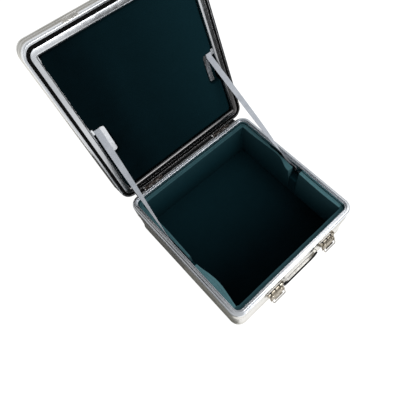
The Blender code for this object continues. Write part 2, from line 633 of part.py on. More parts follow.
def latch(side, x):
    """One draw latch: cheeked plate, lever on a pin, wire bail on the lever's lugs."""
    half = LATCH_WIDTH / 2
    back = FRONT_FACE - FIT_GAP
    face = back - PLATE_THICK
    reach = face - CHEEK_REACH
    bm = bmesh.new()
    inside = half - PLATE_THICK
    plan = [(-half, back), (half, back), (half, reach), (inside, reach), (inside, face),
            (-inside, face), (-inside, reach), (-half, reach)]
    slab(bm, plan, LATCH_HEIGHT, Matrix.Translation((x, 0, LATCH_TOP - LATCH_HEIGHT)))
    plate = finish_object(f"latch_plate_{side}", bm, NICKEL)
    trim = bmesh.new()
    low = LATCH_TOP - LATCH_HEIGHT - CUT_OVERRUN
    cheek_foot = LATCH_TOP - CHEEK_HEIGHT
    slope = [(face, low), (face, cheek_foot), (reach, cheek_foot + CHEEK_REACH / 2),
             (reach - CUT_OVERRUN, low)]
    slab(trim, slope, LATCH_WIDTH + 2 * CUT_OVERRUN, across_x(x - half - CUT_OVERRUN))
    cut(plate, trim, f"latch_trim_{side}")
    bore = bmesh.new()
    ends = half + CUT_OVERRUN
    rod(bore, LEVER_PIN_RADIUS + FIT_GAP, (x - ends, LEVER_PIN_Y, LEVER_PIN_Z),
        (x + ends, LEVER_PIN_Y, LEVER_PIN_Z), 12)
    cut(plate, bore, f"latch_bore_{side}")
    bm = bmesh.new()
    rod(bm, LEVER_PIN_RADIUS, (x - half - FIT_GAP, LEVER_PIN_Y, LEVER_PIN_Z),
        (x + half + FIT_GAP, LEVER_PIN_Y, LEVER_PIN_Z), 12)
    finish_object(f"latch_pin_{side}", bm, NICKEL)

    lever_axis = axis_empty(f"latch_lever_axis_{side}", (x, LEVER_PIN_Y, LEVER_PIN_Z), -LEVER_OPEN_ANGLE)
    wide = half - PLATE_THICK - RUNNING_GAP
    inner = LEVER_THICK - LEVER_BARREL
    foot = -LEVER_LENGTH
    bm = bmesh.new()
    slab(bm, barrel_outline(LEVER_BARREL, LEVER_THICK, LEVER_LENGTH, -1), 2 * wide, across_x(-wide))
    lever = finish_object(f"latch_lever_{side}", bm, NICKEL, lever_axis)
    tab = bmesh.new()
    tip = foot - LEVER_TAB_LENGTH
    lip = [(inner - LEVER_THICK / 4, foot + LEVER_THICK), (inner - LEVER_TAB_RISE, tip),
           (-LEVER_BARREL - LEVER_TAB_RISE, tip), (-LEVER_BARREL + LEVER_THICK / 4, foot + LEVER_THICK)]
    slab(tab, lip, LEVER_TAB_WIDTH, across_x(-LEVER_TAB_WIDTH / 2))
    add_solid(lever, tab, f"latch_tab_{side}")
    pivot_y = -LEVER_BARREL - BAIL_LIFT
    for end in (-1, 1):
        lug = bmesh.new()
        centre = end * LUG_SPACING / 2
        ear = arc((pivot_y, -BAIL_PIVOT), LUG_RADIUS, 90, 270, 8)
        root = inner - LEVER_THICK / 2
        ear += [(root, -BAIL_PIVOT - LUG_RADIUS), (root, -BAIL_PIVOT + LUG_RADIUS)]
        slab(lug, ear, LUG_WIDTH, across_x(centre - LUG_WIDTH / 2))
        add_solid(lever, lug, f"latch_lug_{side}_{end}")
    bore = bmesh.new()
    rod(bore, LEVER_PIN_RADIUS + RUNNING_GAP, (-half, 0, 0), (half, 0, 0), 12)
    cut(lever, bore, f"lever_bore_{side}")
    bore = bmesh.new()
    rod(bore, BAIL_RADIUS + RUNNING_GAP, (-half, pivot_y, -BAIL_PIVOT), (half, pivot_y, -BAIL_PIVOT), 12)
    cut(lever, bore, f"bail_bore_{side}")

    bail_axis = axis_empty(f"latch_bail_axis_{side}", (0, pivot_y, -BAIL_PIVOT), 0.0, lever_axis)
    bm = bmesh.new()
    loop = rounded_loop(BAIL_WIDTH / 2 - BAIL_RADIUS, -BAIL_LENGTH, 0, BAIL_BEND, 3)
    wire(bm, loop, BAIL_RADIUS, 8, closed=True)
    finish_object(f"latch_bail_{side}", bm, NICKEL, bail_axis)


def keeper(side, x, lid):
    """The curled hook on the lid that a latch's bail pulls on."""
    back = -HINGE_Y + FRONT_FACE - FIT_GAP
    face = back - PLATE_THICK
    nose = face - KEEPER_REACH
    low = KEEPER_LOW
    curl = low + PLATE_THICK + KEEPER_CURL
    outline = [(back, KEEPER_TOP), (back, low), (nose, low), (nose, curl), (nose + PLATE_THICK, curl),
               (nose + PLATE_THICK, low + PLATE_THICK), (face, low + PLATE_THICK), (face, KEEPER_TOP)]
    bm = bmesh.new()
    slab(bm, outline, KEEPER_WIDTH, across_x(x - KEEPER_WIDTH / 2))
    finish_object(f"latch_keeper_{side}", bm, NICKEL, lid)


def handle():
    """The drop handle: flat bail, rubber edge, two brackets and their pins."""
    axis = axis_empty("handle_axis", (0, HANDLE_PIN_Y, HANDLE_PIN_Z))
    half = HANDLE_WIDTH / 2
    inner = half - HANDLE_BAR
    low, inside = -HANDLE_DROP, -HANDLE_DROP + HANDLE_BAR
    bend = HANDLE_BEND
    small = bend - HANDLE_BAR / 2
    outer_run = arc((-half + bend, low + bend), bend, 180, 270, HANDLE_BEND_STEPS)
    outer_run += arc((half - bend, low + bend), bend, 270, 360, HANDLE_BEND_STEPS)
    inner_run = arc((inner - small, inside + small), small, 0, -90, HANDLE_BEND_STEPS)
    inner_run += arc((-inner + small, inside + small), small, -90, -180, HANDLE_BEND_STEPS)
    eye = HANDLE_EYE
    outline = [(-half, eye)] + outer_run + [(half, eye), (inner, eye)] + inner_run + [(-inner, eye)]
    bm = bmesh.new()
    deep = HANDLE_THICK + 2 * HANDLE_PIN_RADIUS
    slab(bm, outline, deep, facing((0, -deep / 2, 0)))
    bail = finish_object("handle_bail", bm, NICKEL, axis)
    bore = bmesh.new()
    rod(bore, HANDLE_PIN_RADIUS + RUNNING_GAP, (-half - CUT_OVERRUN, 0, 0), (half + CUT_OVERRUN, 0, 0), 12)
    cut(bail, bore, "handle_bore")

    edge, skin = FIT_GAP, FIT_GAP + GRIP_EDGE
    near = arc((-half + bend, low + bend), bend + edge, 180, 270, HANDLE_BEND_STEPS)
    near += arc((half - bend, low + bend), bend + edge, 270, 360, HANDLE_BEND_STEPS)
    far = arc((half - bend, low + bend), bend + skin, 0, -90, HANDLE_BEND_STEPS)
    far += arc((-half + bend, low + bend), bend + skin, -90, -180, HANDLE_BEND_STEPS)
    bm = bmesh.new()
    slab(bm, near + far, GRIP_THICK, facing((0, -GRIP_THICK / 2, 0)))
    finish_object("handle_grip", bm, RUBBER, axis)

    back = FRONT_FACE - FIT_GAP
    for side, way in (("left", -1), ("right", 1)):
        start = half + RUNNING_GAP
        bm = bmesh.new()
        ear = start + BRACKET_EAR
        foot = ear + BRACKET_FOOT
        plan = [(start, back), (foot, back), (foot, back - BRACKET_THICK), (ear, back - BRACKET_THICK),
                (ear, back - BRACKET_REACH), (start, back - BRACKET_REACH)]
        plan = [(way * x, y) for x, y in plan]
        slab(bm, plan, BRACKET_HEIGHT, Matrix.Translation((0, 0, HANDLE_PIN_Z - BRACKET_HEIGHT / 2)))
        bracket = finish_object(f"handle_bracket_{side}", bm, NICKEL)
        bore = bmesh.new()
        reach = (way * (start - CUT_OVERRUN), way * (ear + CUT_OVERRUN))
        rod(bore, HANDLE_PIN_RADIUS + FIT_GAP, (reach[0], HANDLE_PIN_Y, HANDLE_PIN_Z),
            (reach[1], HANDLE_PIN_Y, HANDLE_PIN_Z), 12)
        cut(bracket, bore, f"bracket_bore_{side}")
        bm = bmesh.new()
        rod(bm, HANDLE_PIN_RADIUS, (way * (inner - HANDLE_PIN_RADIUS), HANDLE_PIN_Y, HANDLE_PIN_Z),
            (way * (ear + HANDLE_PIN_RADIUS), HANDLE_PIN_Y, HANDLE_PIN_Z), 12)
        finish_object(f"handle_pin_{side}", bm, NICKEL)


def ribbon(name, stations, parent=None):
    """Loft a flat strap through (centre, width direction, face direction) stations."""
    bm = bmesh.new()
    rings = []
    for centre, across, out in stations:
        half_w, half_t = across * STAY_WIDTH / 2, out * STAY_THICK / 2
        corners = (half_w + half_t, half_t - half_w, -half_w - half_t, half_w - half_t)
        rings.append([bm.verts.new(centre + c) for c in corners])
    for low, high in zip(rings, rings[1:]):
        for k in range(4):
            follow = (k + 1) % 4
            bm.faces.new((low[k], low[follow], high[follow], high[k]))
    for ring in (rings[0], rings[-1]):
        bmesh.ops.contextual_create(bm, geom=ring)
    return finish_object(name, bm, WEBBING, parent)


def span(start, end, across_start, across_end, steps, lag=1):
    """Stations of a straight run of strap that turns between two directions, late where it lags."""
    made = []
    along = (end - start).normalized()
    for i in range(steps + 1):
        share = i / steps
        across = across_start.lerp(across_end, share ** lag)
        across = (across - along * across.dot(along)).normalized()
        made.append((start.lerp(end, share), across, along.cross(across)))
    return made


def stay(side, way, lid):
    """One webbing stay, its riveted anchor in the base and its clamp in the lid."""
    place = Matrix.Translation((0, HINGE_Y, RIM)) @ Matrix.Rotation(-LID_OPEN_ANGLE, 4, "X")
    turn = place.to_3x3()
    strap_x = way * (HALF_WIDTH - STAY_LID_INSET)
    depth = STAY_LID_SINK + STAY_THICK / 2
    lid_end = place @ Vector((strap_x, -STAY_LID_EDGE - STAY_TAIL, depth))
    lid_edge = place @ Vector((strap_x, -STAY_LID_EDGE, depth))
    flat = Vector((way, 0, 0))
    wall = Vector((0, 0, -1))
    anchor_x = way * (HALF_WIDTH - FIT_GAP - STAY_THICK / 2)
    half_anchor = ANCHOR_LENGTH / 2
    tail = Vector((anchor_x, STAY_ANCHOR_BACK - half_anchor, RIM - STAY_ANCHOR_DROP))
    anchor = Vector((anchor_x, STAY_ANCHOR_BACK + half_anchor, RIM - STAY_ANCHOR_DROP))
    stations = span(lid_end, lid_edge, flat, flat, 1)
    if way < 0:
        bend_x = way * (HALF_WIDTH - STAY_LEFT_BEND_INSET)
        bend = Vector((bend_x, STAY_LEFT_BEND_BACK, RIM - STAY_LEFT_BEND_DROP))
        run = Vector((anchor_x, STAY_LEFT_RUN_BACK, RIM - STAY_ANCHOR_DROP))
        stations += span(lid_edge, bend, flat, wall, STAY_STEPS)[1:]
        stations += span(run, anchor, wall, wall, 2)[:-1]
    else:
        lead = anchor + Vector((-way * STAY_RIGHT_LEAD_INSET, STAY_RIGHT_LEAD_BACK, STAY_RIGHT_LEAD_RISE))
        stations += span(lid_edge, lead, flat, wall, STAY_STEPS, STAY_TWIST_LAG)[1:]
    stations += span(anchor, tail, wall, wall, 1)
    ribbon(f"stay_strap_{side}", stations)

    bm = bmesh.new()
    near = HALF_WIDTH - 2 * FIT_GAP - STAY_THICK
    sheet = rounded_plate(ANCHOR_LENGTH, ANCHOR_HEIGHT, PLATE_ROUND)
    thick = -way * ANCHOR_THICK
    seat = Matrix.Translation((0, STAY_ANCHOR_BACK, RIM - STAY_ANCHOR_DROP))
    slab(bm, sheet, thick, seat @ across_x(way * near))
    finish_object(f"stay_anchor_{side}", bm, BLACK_ENAMEL)

    band = HALF_WIDTH - BAND_REACH - FIT_GAP
    reach = HALF_WIDTH - CLAMP_REACH
    level = STAY_LID_SINK + STAY_THICK + FIT_GAP
    top = STAY_LID_EDGE + STAY_TAIL + FIT_GAP
    foot = top - STAY_TAIL - CLAMP_TAB_LENGTH
    tab = reach + CLAMP_TAB_WIDTH
    edge = STAY_LID_EDGE + CLAMP_THICK
    low_round = arc((reach + CLAMP_TAB_ROUND, foot + CLAMP_TAB_ROUND), CLAMP_TAB_ROUND, 180, 270, 4)
    root = band - CLAMP_THICK / 2
    outline = [(root, top), (reach, top)] + low_round + [(tab, foot), (tab, edge), (root, edge)]
    bm = bmesh.new()
    slab(bm, [(way * x, -v) for x, v in outline], CLAMP_THICK, Matrix.Translation((0, 0, level)))
    clamp = finish_object(f"stay_clamp_{side}", bm, BRIGHT_ALUMINIUM, lid)
    ear = bmesh.new()
    low = (min(way * band, way * (band - CLAMP_THICK)), FIT_GAP - top, level + CLAMP_THICK / 2)
    high = (max(way * band, way * (band - CLAMP_THICK)), -edge - FIT_GAP, level + CLAMP_FLANGE)
    box(ear, low, high)
    add_solid(clamp, ear, f"clamp_flange_{side}")


def lid_lining(lid):
    """The lid's foam pad, notched at both sides for the stays and their clamps."""
    bm = bmesh.new()
    inset = BAND_REACH + FIT_GAP
    rings = []
    for further, level in ((0, LID_INNER - FIT_GAP), (0, PAD_SINK + PAD_ROUND), (PAD_ROUND, PAD_SINK)):
        off = inset + further
        wide, deep = OPENING_WIDTH - 2 * off, OPENING_DEPTH - 2 * off
        plan = rounded_plate(wide, deep, PAD_CORNER - further, PAD_CORNER_STEPS)
        rings.append([bm.verts.new((x, y, level)) for x, y in plan])
    for ring, next_ring in zip(rings, rings[1:]):
        for k, corner in enumerate(ring):
            bm.faces.new((ring[k - 1], corner, next_ring[k], next_ring[k - 1]))
    fill_ends(bm)
    pad = finish_object("lid_lining_pad", bm, LINING_CLOTH, lid, (0, -HINGE_Y, 0), smooth=False)
    for side, way in (("left", -1), ("right", 1)):
        outer = way * (HALF_WIDTH + CUT_OVERRUN)
        inner = way * (HALF_WIDTH - CLAMP_REACH - NOTCH_SIDE_GAP)
        edge = HINGE_Y - STAY_LID_EDGE
        foot = edge + CLAMP_TAB_LENGTH + NOTCH_FOOT_GAP
        head = edge - STAY_TAIL - 2 * FIT_GAP
        open_face, flap, deep = PAD_SINK - CUT_OVERRUN, PAD_SINK + NOTCH_FLAP, PAD_SINK + NOTCH_DEEP
        tool = bmesh.new()
        outline = [(foot, open_face), (edge, open_face), (edge, flap), (head, flap), (head, deep),
                   (foot, deep)]
        slab(tool, outline, abs(outer - inner), across_x(min(outer, inner)))
        cut(pad, tool, f"clamp_notch_{side}")


def build():
    """Make the whole case."""
    clear_scene()
    base = shell_section(RIM, FRAME_UNDER, FOOT_BEAD_HEIGHT, 0)
    drawn_shell("base_shell", base)
    swept_part("base_frame", base_frame_section(), BRIGHT_ALUMINIUM)
    base_linings()

    lid = axis_empty("lid_axis", (0, HINGE_Y, RIM), -LID_OPEN_ANGLE)
    plan = (0, -HINGE_Y, 0)
    drawn_shell("lid_shell", shell_section(0, GROOVE_DEPTH + WEB_THICK, 0, LID_DEPTH), lid, plan)
    swept_part("lid_frame", lid_frame_section(), BRIGHT_ALUMINIUM, lid, plan)
    swept_part("lid_gasket", gasket_section(), NEOPRENE, lid, plan)
    lid_lining(lid)

    hinges(lid)
    handle()
    for side, way in (("left", -1), ("right", 1)):
        latch(side, way * LATCH_X)
        keeper(side, way * LATCH_X, lid)
        stay(side, way, lid)


build()
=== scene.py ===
"""Studio picture of the open aluminium transport case, dressed over its CAD frame."""
import math

import bmesh
import bpy
from mathutils import Matrix, Vector, noise


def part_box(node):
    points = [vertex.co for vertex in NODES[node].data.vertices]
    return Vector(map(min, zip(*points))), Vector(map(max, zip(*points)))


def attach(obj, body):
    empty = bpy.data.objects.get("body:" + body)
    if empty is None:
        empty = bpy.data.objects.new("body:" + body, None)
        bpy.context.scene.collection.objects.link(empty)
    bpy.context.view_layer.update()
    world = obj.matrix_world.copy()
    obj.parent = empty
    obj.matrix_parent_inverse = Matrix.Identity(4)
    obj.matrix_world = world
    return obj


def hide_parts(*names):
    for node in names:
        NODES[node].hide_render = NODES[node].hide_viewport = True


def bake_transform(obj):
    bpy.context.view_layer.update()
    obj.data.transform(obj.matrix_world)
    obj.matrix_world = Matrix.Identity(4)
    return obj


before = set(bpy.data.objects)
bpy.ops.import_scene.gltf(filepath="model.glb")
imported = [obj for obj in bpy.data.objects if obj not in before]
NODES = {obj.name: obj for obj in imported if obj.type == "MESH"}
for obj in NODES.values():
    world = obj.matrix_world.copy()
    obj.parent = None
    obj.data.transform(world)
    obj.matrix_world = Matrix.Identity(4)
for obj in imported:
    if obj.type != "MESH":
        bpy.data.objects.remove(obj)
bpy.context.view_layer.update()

# Sizes repeated from the CAD, in metres. Half the opening is the line that sections are swept round,
# and outsets are counted from it. The rim is the closing plane, at the height of the hinge axis.
# The stays' width alone is the scene's own, from the photo: the CAD's straps are 15 mm wide.
HALF = 0.2225
CORNER = 0.016
RIM = 0.170
LID_DEPTH = 0.072
FRAME_OUT = 0.0158
SHELL_OUT = 0.0140
SHELL_WALL = 0.0015
SEAT_GAP = 0.0003
HINGE_Y = 0.2420
OPEN_ANGLE = math.radians(110)
LID_PLACE = Matrix.Translation((0, HINGE_Y, RIM)) @ Matrix.Rotation(-OPEN_ANGLE, 4, "X")
LID_PLAN = LID_PLACE @ Matrix.Translation((0, -HINGE_Y, 0))
STILL = Matrix.Identity(4)
TO_FRONT = (0, -1, 0)
TO_REAR = (0, 1, 0)
FRONT_FACE = -(HALF + FRAME_OUT + SEAT_GAP)
LATCH_X = 0.106
LATCH_THICK = 0.0015
LEVER_PIN = (-0.2461, RIM - 0.013)
KNUCKLE_PITCH = 0.0165
HANDLE_PIN = (-0.2454, RIM - 0.030)
HANDLE_END_X = 0.0713
HINGE_X = 0.140
LINING_TOP = RIM - 0.012
LINING_FACE = -0.014
FLOOR_TOP = 0.024
PANEL_OUT = 0.0118
PANEL_LIP_OUT = -0.0006
PANEL_STEP = RIM - 0.0345
LOW_TOP = RIM - 0.0585
SIDE_FRONT = -0.206
SIDE_REAR = 0.208
STAY_GAP_FRONT = -0.044
STAY_GAP_REAR = -0.014
STAY_WIDTH = 0.018
STAY_THICK = 0.0012
STAY_LEVEL = RIM - 0.023

# Distances below which points are one, on large pieces and on small ones
MERGE = 0.00001
FINE_MERGE = 0.000005


# Materials
def colour(code):
    """Linear RGBA of an sRGB hex code."""
    parts = [int(code[i:i + 2], 16) / 255 for i in (1, 3, 5)]
    return [p / 12.92 if p <= 0.04045 else ((p + 0.055) / 1.055) ** 2.4 for p in parts] + [1.0]


def node(tree, kind, settings=None, inputs=None):
    """Add a node, set its fields, and give each input a value or a link."""
    made = tree.nodes.new("ShaderNode" + kind)
    for key, value in (settings or {}).items():
        setattr(made, key, value)
    for key, value in (inputs or {}).items():
        if isinstance(value, bpy.types.NodeSocket):
            tree.links.new(value, made.inputs[key])
        else:
            made.inputs[key].default_value = value
    return made


def new_material(name, base, rough, metal):
    """A Principled material with its tree, shader and object coordinates."""
    made = bpy.data.materials.new(name)
    made.use_nodes = True
    tree = made.node_tree
    shader = tree.nodes["Principled BSDF"]
    shader.inputs["Base Color"].default_value = colour(base)
    shader.inputs["Roughness"].default_value = rough
    shader.inputs["Metallic"].default_value = metal
    return made, tree, shader, node(tree, "TexCoord").outputs["Object"]


BAND_RATE = 20


def pitch(metres):
    """Scale at which a band texture, whose phase runs at a fixed rate, repeats once in a length."""
    return math.tau / (BAND_RATE * metres)


# Painted shade: brown that darkens the frames where they would reflect dark surroundings
PAINTED_SHADE_BROWN = "#38322f"


def metal_finish(name, base, dull, rough, cloud_size, grain_size, stretch, scratch=0.10, relief=0.03):
    """Metal with drawn or rolled grain, slow clouding, a few fine rubs, and brown painted shade from its
    attribute.
    """
    made, tree, shader, place = new_material(name, base, rough, 1.0)
    cloud = node(tree, "TexNoise", None, {"Vector": place, "Scale": 1 / cloud_size, "Detail": 4.0})
    spread = node(tree, "MapRange", None, {"Value": cloud.outputs["Fac"], "From Min": 0.35, "From Max": 0.65})
    tone = node(tree, "Mix", {"data_type": "RGBA"}, {0: spread.outputs[0], 6: colour(dull), 7: colour(base)})
    painted_shade_share = node(tree, "Attribute", {"attribute_name": "painted_shade"})
    painted_shade_tone = node(tree, "Mix", {"data_type": "RGBA"},
                   {0: painted_shade_share.outputs["Fac"], 6: tone.outputs[2], 7: colour(PAINTED_SHADE_BROWN)})
    tree.links.new(painted_shade_tone.outputs[2], shader.inputs["Base Color"])
    along = node(tree, "Mapping", None, {"Vector": place, "Scale": stretch})
    grain = node(tree, "TexNoise", None, {"Vector": along.outputs[0], "Scale": 1 / grain_size, "Detail": 3.0})
    turned = node(tree, "Mapping", None,
                  {"Vector": place, "Rotation": (0.4, 0.3, 0.9), "Scale": (1.0, 0.05, 1.0)})
    rubs = node(tree, "TexNoise", None,
                {"Vector": turned.outputs[0], "Scale": 0.6 / grain_size, "Detail": 2.0})
    worn = node(tree, "MapRange", None,
                {"Value": rubs.outputs["Fac"], "From Min": 0.62, "From Max": 0.70,
                 "To Min": 0.0, "To Max": scratch})
    smoothest = rough - 0.07
    roughest = rough + 0.09
    base_rough = node(tree, "MapRange", None,
                      {"Value": grain.outputs["Fac"], "To Min": smoothest, "To Max": roughest})
    total = node(tree, "Math", {"operation": "ADD"}, {0: base_rough.outputs[0], 1: worn.outputs[0]})
    tree.links.new(total.outputs[0], shader.inputs["Roughness"])
    lines = node(tree, "Bump", None, {"Height": grain.outputs["Fac"], "Strength": relief, "Distance": 0.0003})
    tree.links.new(lines.outputs[0], shader.inputs["Normal"])
    return made


# Satin rolled sheet: broad soft highlights with faint grain along the walls, for the two drawn shells
SHEET = metal_finish("satin_rolled_aluminium", "#dedcd7", "#cfcdc6", rough=0.34, cloud_size=0.07,
                     grain_size=0.0011, stretch=(0.06, 0.06, 1.0))
# Bright anodised extrusion: clean narrow highlights on the rims and the stay clamps
SECTION = metal_finish("bright_anodised_aluminium", "#e2e4e7", "#d6d9dd", rough=0.22, cloud_size=0.09,
                       grain_size=0.0090, stretch=(1.0, 1.0, 1.0), scratch=0.05, relief=0.006)
# Nickel plated steel: warm grey, the sharpest reflections, on the handle, the keepers and the rivets
PLATE = metal_finish("nickel_plated_steel", "#e3e1dc", "#c3bfb6", rough=0.20, cloud_size=0.012,
                     grain_size=0.0008, stretch=(0.2, 1.0, 1.0), scratch=0.16)
# Shaded nickel: a darker, browner copy of the plate as painted shade, so that the edges of the latches read
# against the wall
SHADED_NICKEL = metal_finish("shaded_nickel_steel", "#bcb5a8", "#8b8376", rough=0.24, cloud_size=0.006,
                    grain_size=0.0008, stretch=(1.0, 1.0, 1.0), scratch=0.16)
# Hinge steel: dull and nearly black as painted shade, on the hinges that hide below the lid
SHADED_HINGE_STEEL = metal_finish("shaded_hinge_steel", "#4a4340", "#39332f", rough=0.42, cloud_size=0.015,
                       grain_size=0.0010, stretch=(1.0, 1.0, 1.0))


def enamel_finish():
    """Black stove enamel with a slight orange peel."""
    made, tree, shader, place = new_material("black_stove_enamel", "#0a0a0b", 0.30, 0.0)
    peel_size = 0.0015
    peel = node(tree, "TexNoise", None, {"Vector": place, "Scale": 1 / peel_size, "Detail": 2.0})
    tone = node(tree, "Mix", {"data_type": "RGBA"},
                {0: peel.outputs["Fac"], 6: colour("#070708"), 7: colour("#121213")})
    tree.links.new(tone.outputs[2], shader.inputs["Base Color"])
    skin = node(tree, "Bump", None, {"Height": peel.outputs["Fac"], "Strength": 0.15, "Distance": 0.0002})
    tree.links.new(skin.outputs[0], shader.inputs["Normal"])
    return made


# Black stove enamel: small sharp glints on the stay anchors and on the rivets of anchors and latches; on the
# latch rivets its black is painted shade
ENAMEL = enamel_finish()


# Painted light value up to which the cloth takes the dim painted light of its faces, and above which the
# painted highlight of the panel tops
FACE_LIGHT_LIMIT = 0.10


def pile_finish():
    """Dark teal pile cloth, painted paler where light falls on it, most on the panel tops, from its painted
    light attribute.
    """
    made, tree, shader, place = new_material("teal_pile_cloth", "#0b262b", 0.95, 0.0)
    dye_size = 0.045
    fleck_size = 0.0022
    dye = node(tree, "TexNoise", None,
               {"Vector": place, "Scale": 1 / dye_size, "Detail": 6.0, "Roughness": 0.7})
    deep = node(tree, "Mix", {"data_type": "RGBA"},
                {0: dye.outputs["Fac"], 6: colour("#01080a"), 7: colour("#041217")})
    top_light = node(tree, "Mix", {"data_type": "RGBA"},
                  {0: dye.outputs["Fac"], 6: colour("#45676d"), 7: colour("#5a8288")})
    face_light_tone = colour("#112e35")
    painted_light = node(tree, "Attribute", {"attribute_name": "painted_light"})
    fleck = node(tree, "TexNoise", None, {"Vector": place, "Scale": 1 / fleck_size, "Detail": 1.0})
    patchy = node(tree, "Math", {"operation": "MULTIPLY_ADD"}, {0: fleck.outputs["Fac"], 1: 0.35, 2: 0.82})
    share = node(tree, "Math", {"operation": "MULTIPLY", "use_clamp": True},
                 {0: painted_light.outputs["Fac"], 1: patchy.outputs[0]})
    low_share = node(tree, "MapRange", None, {"Value": share.outputs[0], "From Max": FACE_LIGHT_LIMIT})
    high_share = node(tree, "MapRange", None, {"Value": share.outputs[0], "From Min": FACE_LIGHT_LIMIT})
    face = node(tree, "Mix", {"data_type": "RGBA"}, {0: low_share.outputs[0], 6: deep.outputs[2], 7: face_light_tone})
    tone = node(tree, "Mix", {"data_type": "RGBA"},
                {0: high_share.outputs[0], 6: face.outputs[2], 7: top_light.outputs[2]})
    tree.links.new(tone.outputs[2], shader.inputs["Base Color"])
    # The true weave is 0.6 mm, too fine to show, so its ribs are drawn at 3 mm
    drawn_rib = 0.003
    ribs = [node(tree, "TexWave", {"bands_direction": axis},
                 {"Vector": place, "Scale": pitch(drawn_rib), "Distortion": 1.5})
            for axis in ("X", "Y", "Z")]
    first = node(tree, "Math", {"operation": "ADD"}, {0: ribs[0].outputs["Fac"], 1: ribs[1].outputs["Fac"]})
    weave = node(tree, "Math", {"operation": "ADD"}, {0: first.outputs[0], 1: ribs[2].outputs["Fac"]})
    raised = node(tree, "Math", {"operation": "ADD"}, {0: weave.outputs[0], 1: fleck.outputs["Fac"]})
    relief = node(tree, "Bump", None, {"Height": raised.outputs[0], "Strength": 0.45, "Distance": 0.0006})
    tree.links.new(relief.outputs[0], shader.inputs["Normal"])
    shader.inputs["Specular IOR Level"].default_value = 0.02
    return made


# Pile cloth: almost black teal, with painted light that makes the panel tops pale and some faces a little
# paler
LINING = pile_finish()


def webbing_finish():
    """Grey polyester webbing with cross ribs and two woven edges, from the strap's own UV."""
    made, tree, shader, place = new_material("grey_polyester_webbing", "#b9bdc4", 0.60, 0.0)
    strap = node(tree, "UVMap").outputs["UV"]
    cross_rib = 0.0024
    along_rib = 0.0020
    stain_size = 0.020
    cross = node(tree, "TexWave", {"bands_direction": "Y"},
                 {"Vector": strap, "Scale": pitch(cross_rib), "Distortion": 0.4})
    along = node(tree, "TexWave", {"bands_direction": "X"},
                 {"Vector": strap, "Scale": pitch(along_rib), "Distortion": 0.4})
    height = node(tree, "Math", {"operation": "ADD"}, {0: cross.outputs["Fac"], 1: along.outputs["Fac"]})
    stain = node(tree, "TexNoise", None, {"Vector": place, "Scale": 1 / stain_size, "Detail": 5.0})
    tone = node(tree, "Mix", {"data_type": "RGBA"},
                {0: stain.outputs["Fac"], 6: colour("#a3a8b0"), 7: colour("#c6cad1")})
    shaded = node(tree, "Mix", {"data_type": "RGBA", "blend_type": "MULTIPLY"},
                  {0: 0.25, 6: tone.outputs[2], 7: cross.outputs["Color"]})
    tree.links.new(shaded.outputs[2], shader.inputs["Base Color"])
    relief = node(tree, "Bump", None, {"Height": height.outputs[0], "Strength": 0.5, "Distance": 0.0005})
    tree.links.new(relief.outputs[0], shader.inputs["Normal"])
    shader.inputs["Sheen Weight"].default_value = 0.20
    return made


# Webbing: pale cool grey, ribbed, matt with a faint thread shine
WEBBING = webbing_finish()


def rubber_finish(name, base, rough, grain_size):
    """Black rubber with a fine open skin."""
    made, tree, shader, place = new_material(name, base, rough, 0.0)
    skin = node(tree, "TexNoise", None, {"Vector": place, "Scale": 1 / grain_size, "Detail": 4.0})
    spread = 0.1
    uneven = node(tree, "MapRange", None,
                  {"Value": skin.outputs["Fac"], "To Min": rough - spread, "To Max": rough + spread})
    tree.links.new(uneven.outputs[0], shader.inputs["Roughness"])
    pores = node(tree, "Bump", None, {"Height": skin.outputs["Fac"], "Strength": 0.2, "Distance": 0.0003})
    tree.links.new(pores.outputs[0], shader.inputs["Normal"])
    shader.inputs["Specular IOR Level"].default_value = 0.15
    return made


# Neoprene sponge: dead black strip that parts the lid's two bright bands
GASKET = rubber_finish("black_neoprene_sponge", "#050505", rough=0.85, grain_size=0.0011)
# Moulded rubber: satin black, on the handle's edge; its black on the rings between the latch knuckles and on
# the strip behind the rear rim is painted shade
GRIP = rubber_finish("black_moulded_rubber", "#060607", rough=0.62, grain_size=0.0020)


# Shared shapes
def arc(centre, radius, start, end, steps):
    """Points of an arc, from one angle to another in degrees."""
    angles = [math.radians(start + (end - start) * i / steps) for i in range(steps + 1)]
    return [(centre[0] + radius * math.cos(a), centre[1] + radius * math.sin(a)) for a in angles]


def sweep(bm, section, closed, steps=18):
    """Sweep a section of (outset, height) points round the case's plan."""
    near = HALF - CORNER
    corners = [(near, near), (-near, near), (-near, -near), (near, -near)]
    first = [bm.verts.new((near + CORNER + out, near, up)) for out, up in section]
    pairs = list(zip(first, first[1:] + first[:1])) if closed else list(zip(first, first[1:]))
    edges = [bm.edges.new(pair) for pair in pairs]
    for here, there in zip(corners, corners[1:] + corners[:1]):
        held = list(dict.fromkeys(v for e in edges for v in e.verts))
        spun = bmesh.ops.spin(bm, geom=edges + held, cent=(*here, 0), axis=(0, 0, 1),
                              angle=math.pi / 2, steps=steps)
        edges = [g for g in spun["geom_last"] if isinstance(g, bmesh.types.BMEdge)]
        run = bmesh.ops.extrude_edge_only(bm, edges=edges)["geom"]
        ends = [g for g in run if isinstance(g, bmesh.types.BMVert)]
        bmesh.ops.translate(bm, vec=(there[0] - here[0], there[1] - here[1], 0), verts=ends)
        edges = [g for g in run if isinstance(g, bmesh.types.BMEdge) and all(v in ends for v in g.verts)]
    bmesh.ops.remove_doubles(bm, verts=bm.verts, dist=MERGE)


def soften(outline, radius, steps=3):
    """Round every corner of a closed outline, by no more than a share of the sides that meet there."""
    most = 0.45
    points = []
    count = len(outline)
    for i, here in enumerate(outline):
        corner = Vector(here)
        before = Vector(outline[i - 1]) - corner
        after = Vector(outline[(i + 1) % count]) - corner
        reach = min(radius, before.length * most, after.length * most)
        start = corner + before.normalized() * reach
        end = corner + after.normalized() * reach
        for k in range(steps + 1):
            share = k / steps
            points.append(tuple(start.lerp(corner, share).lerp(corner.lerp(end, share), share)))
    return points


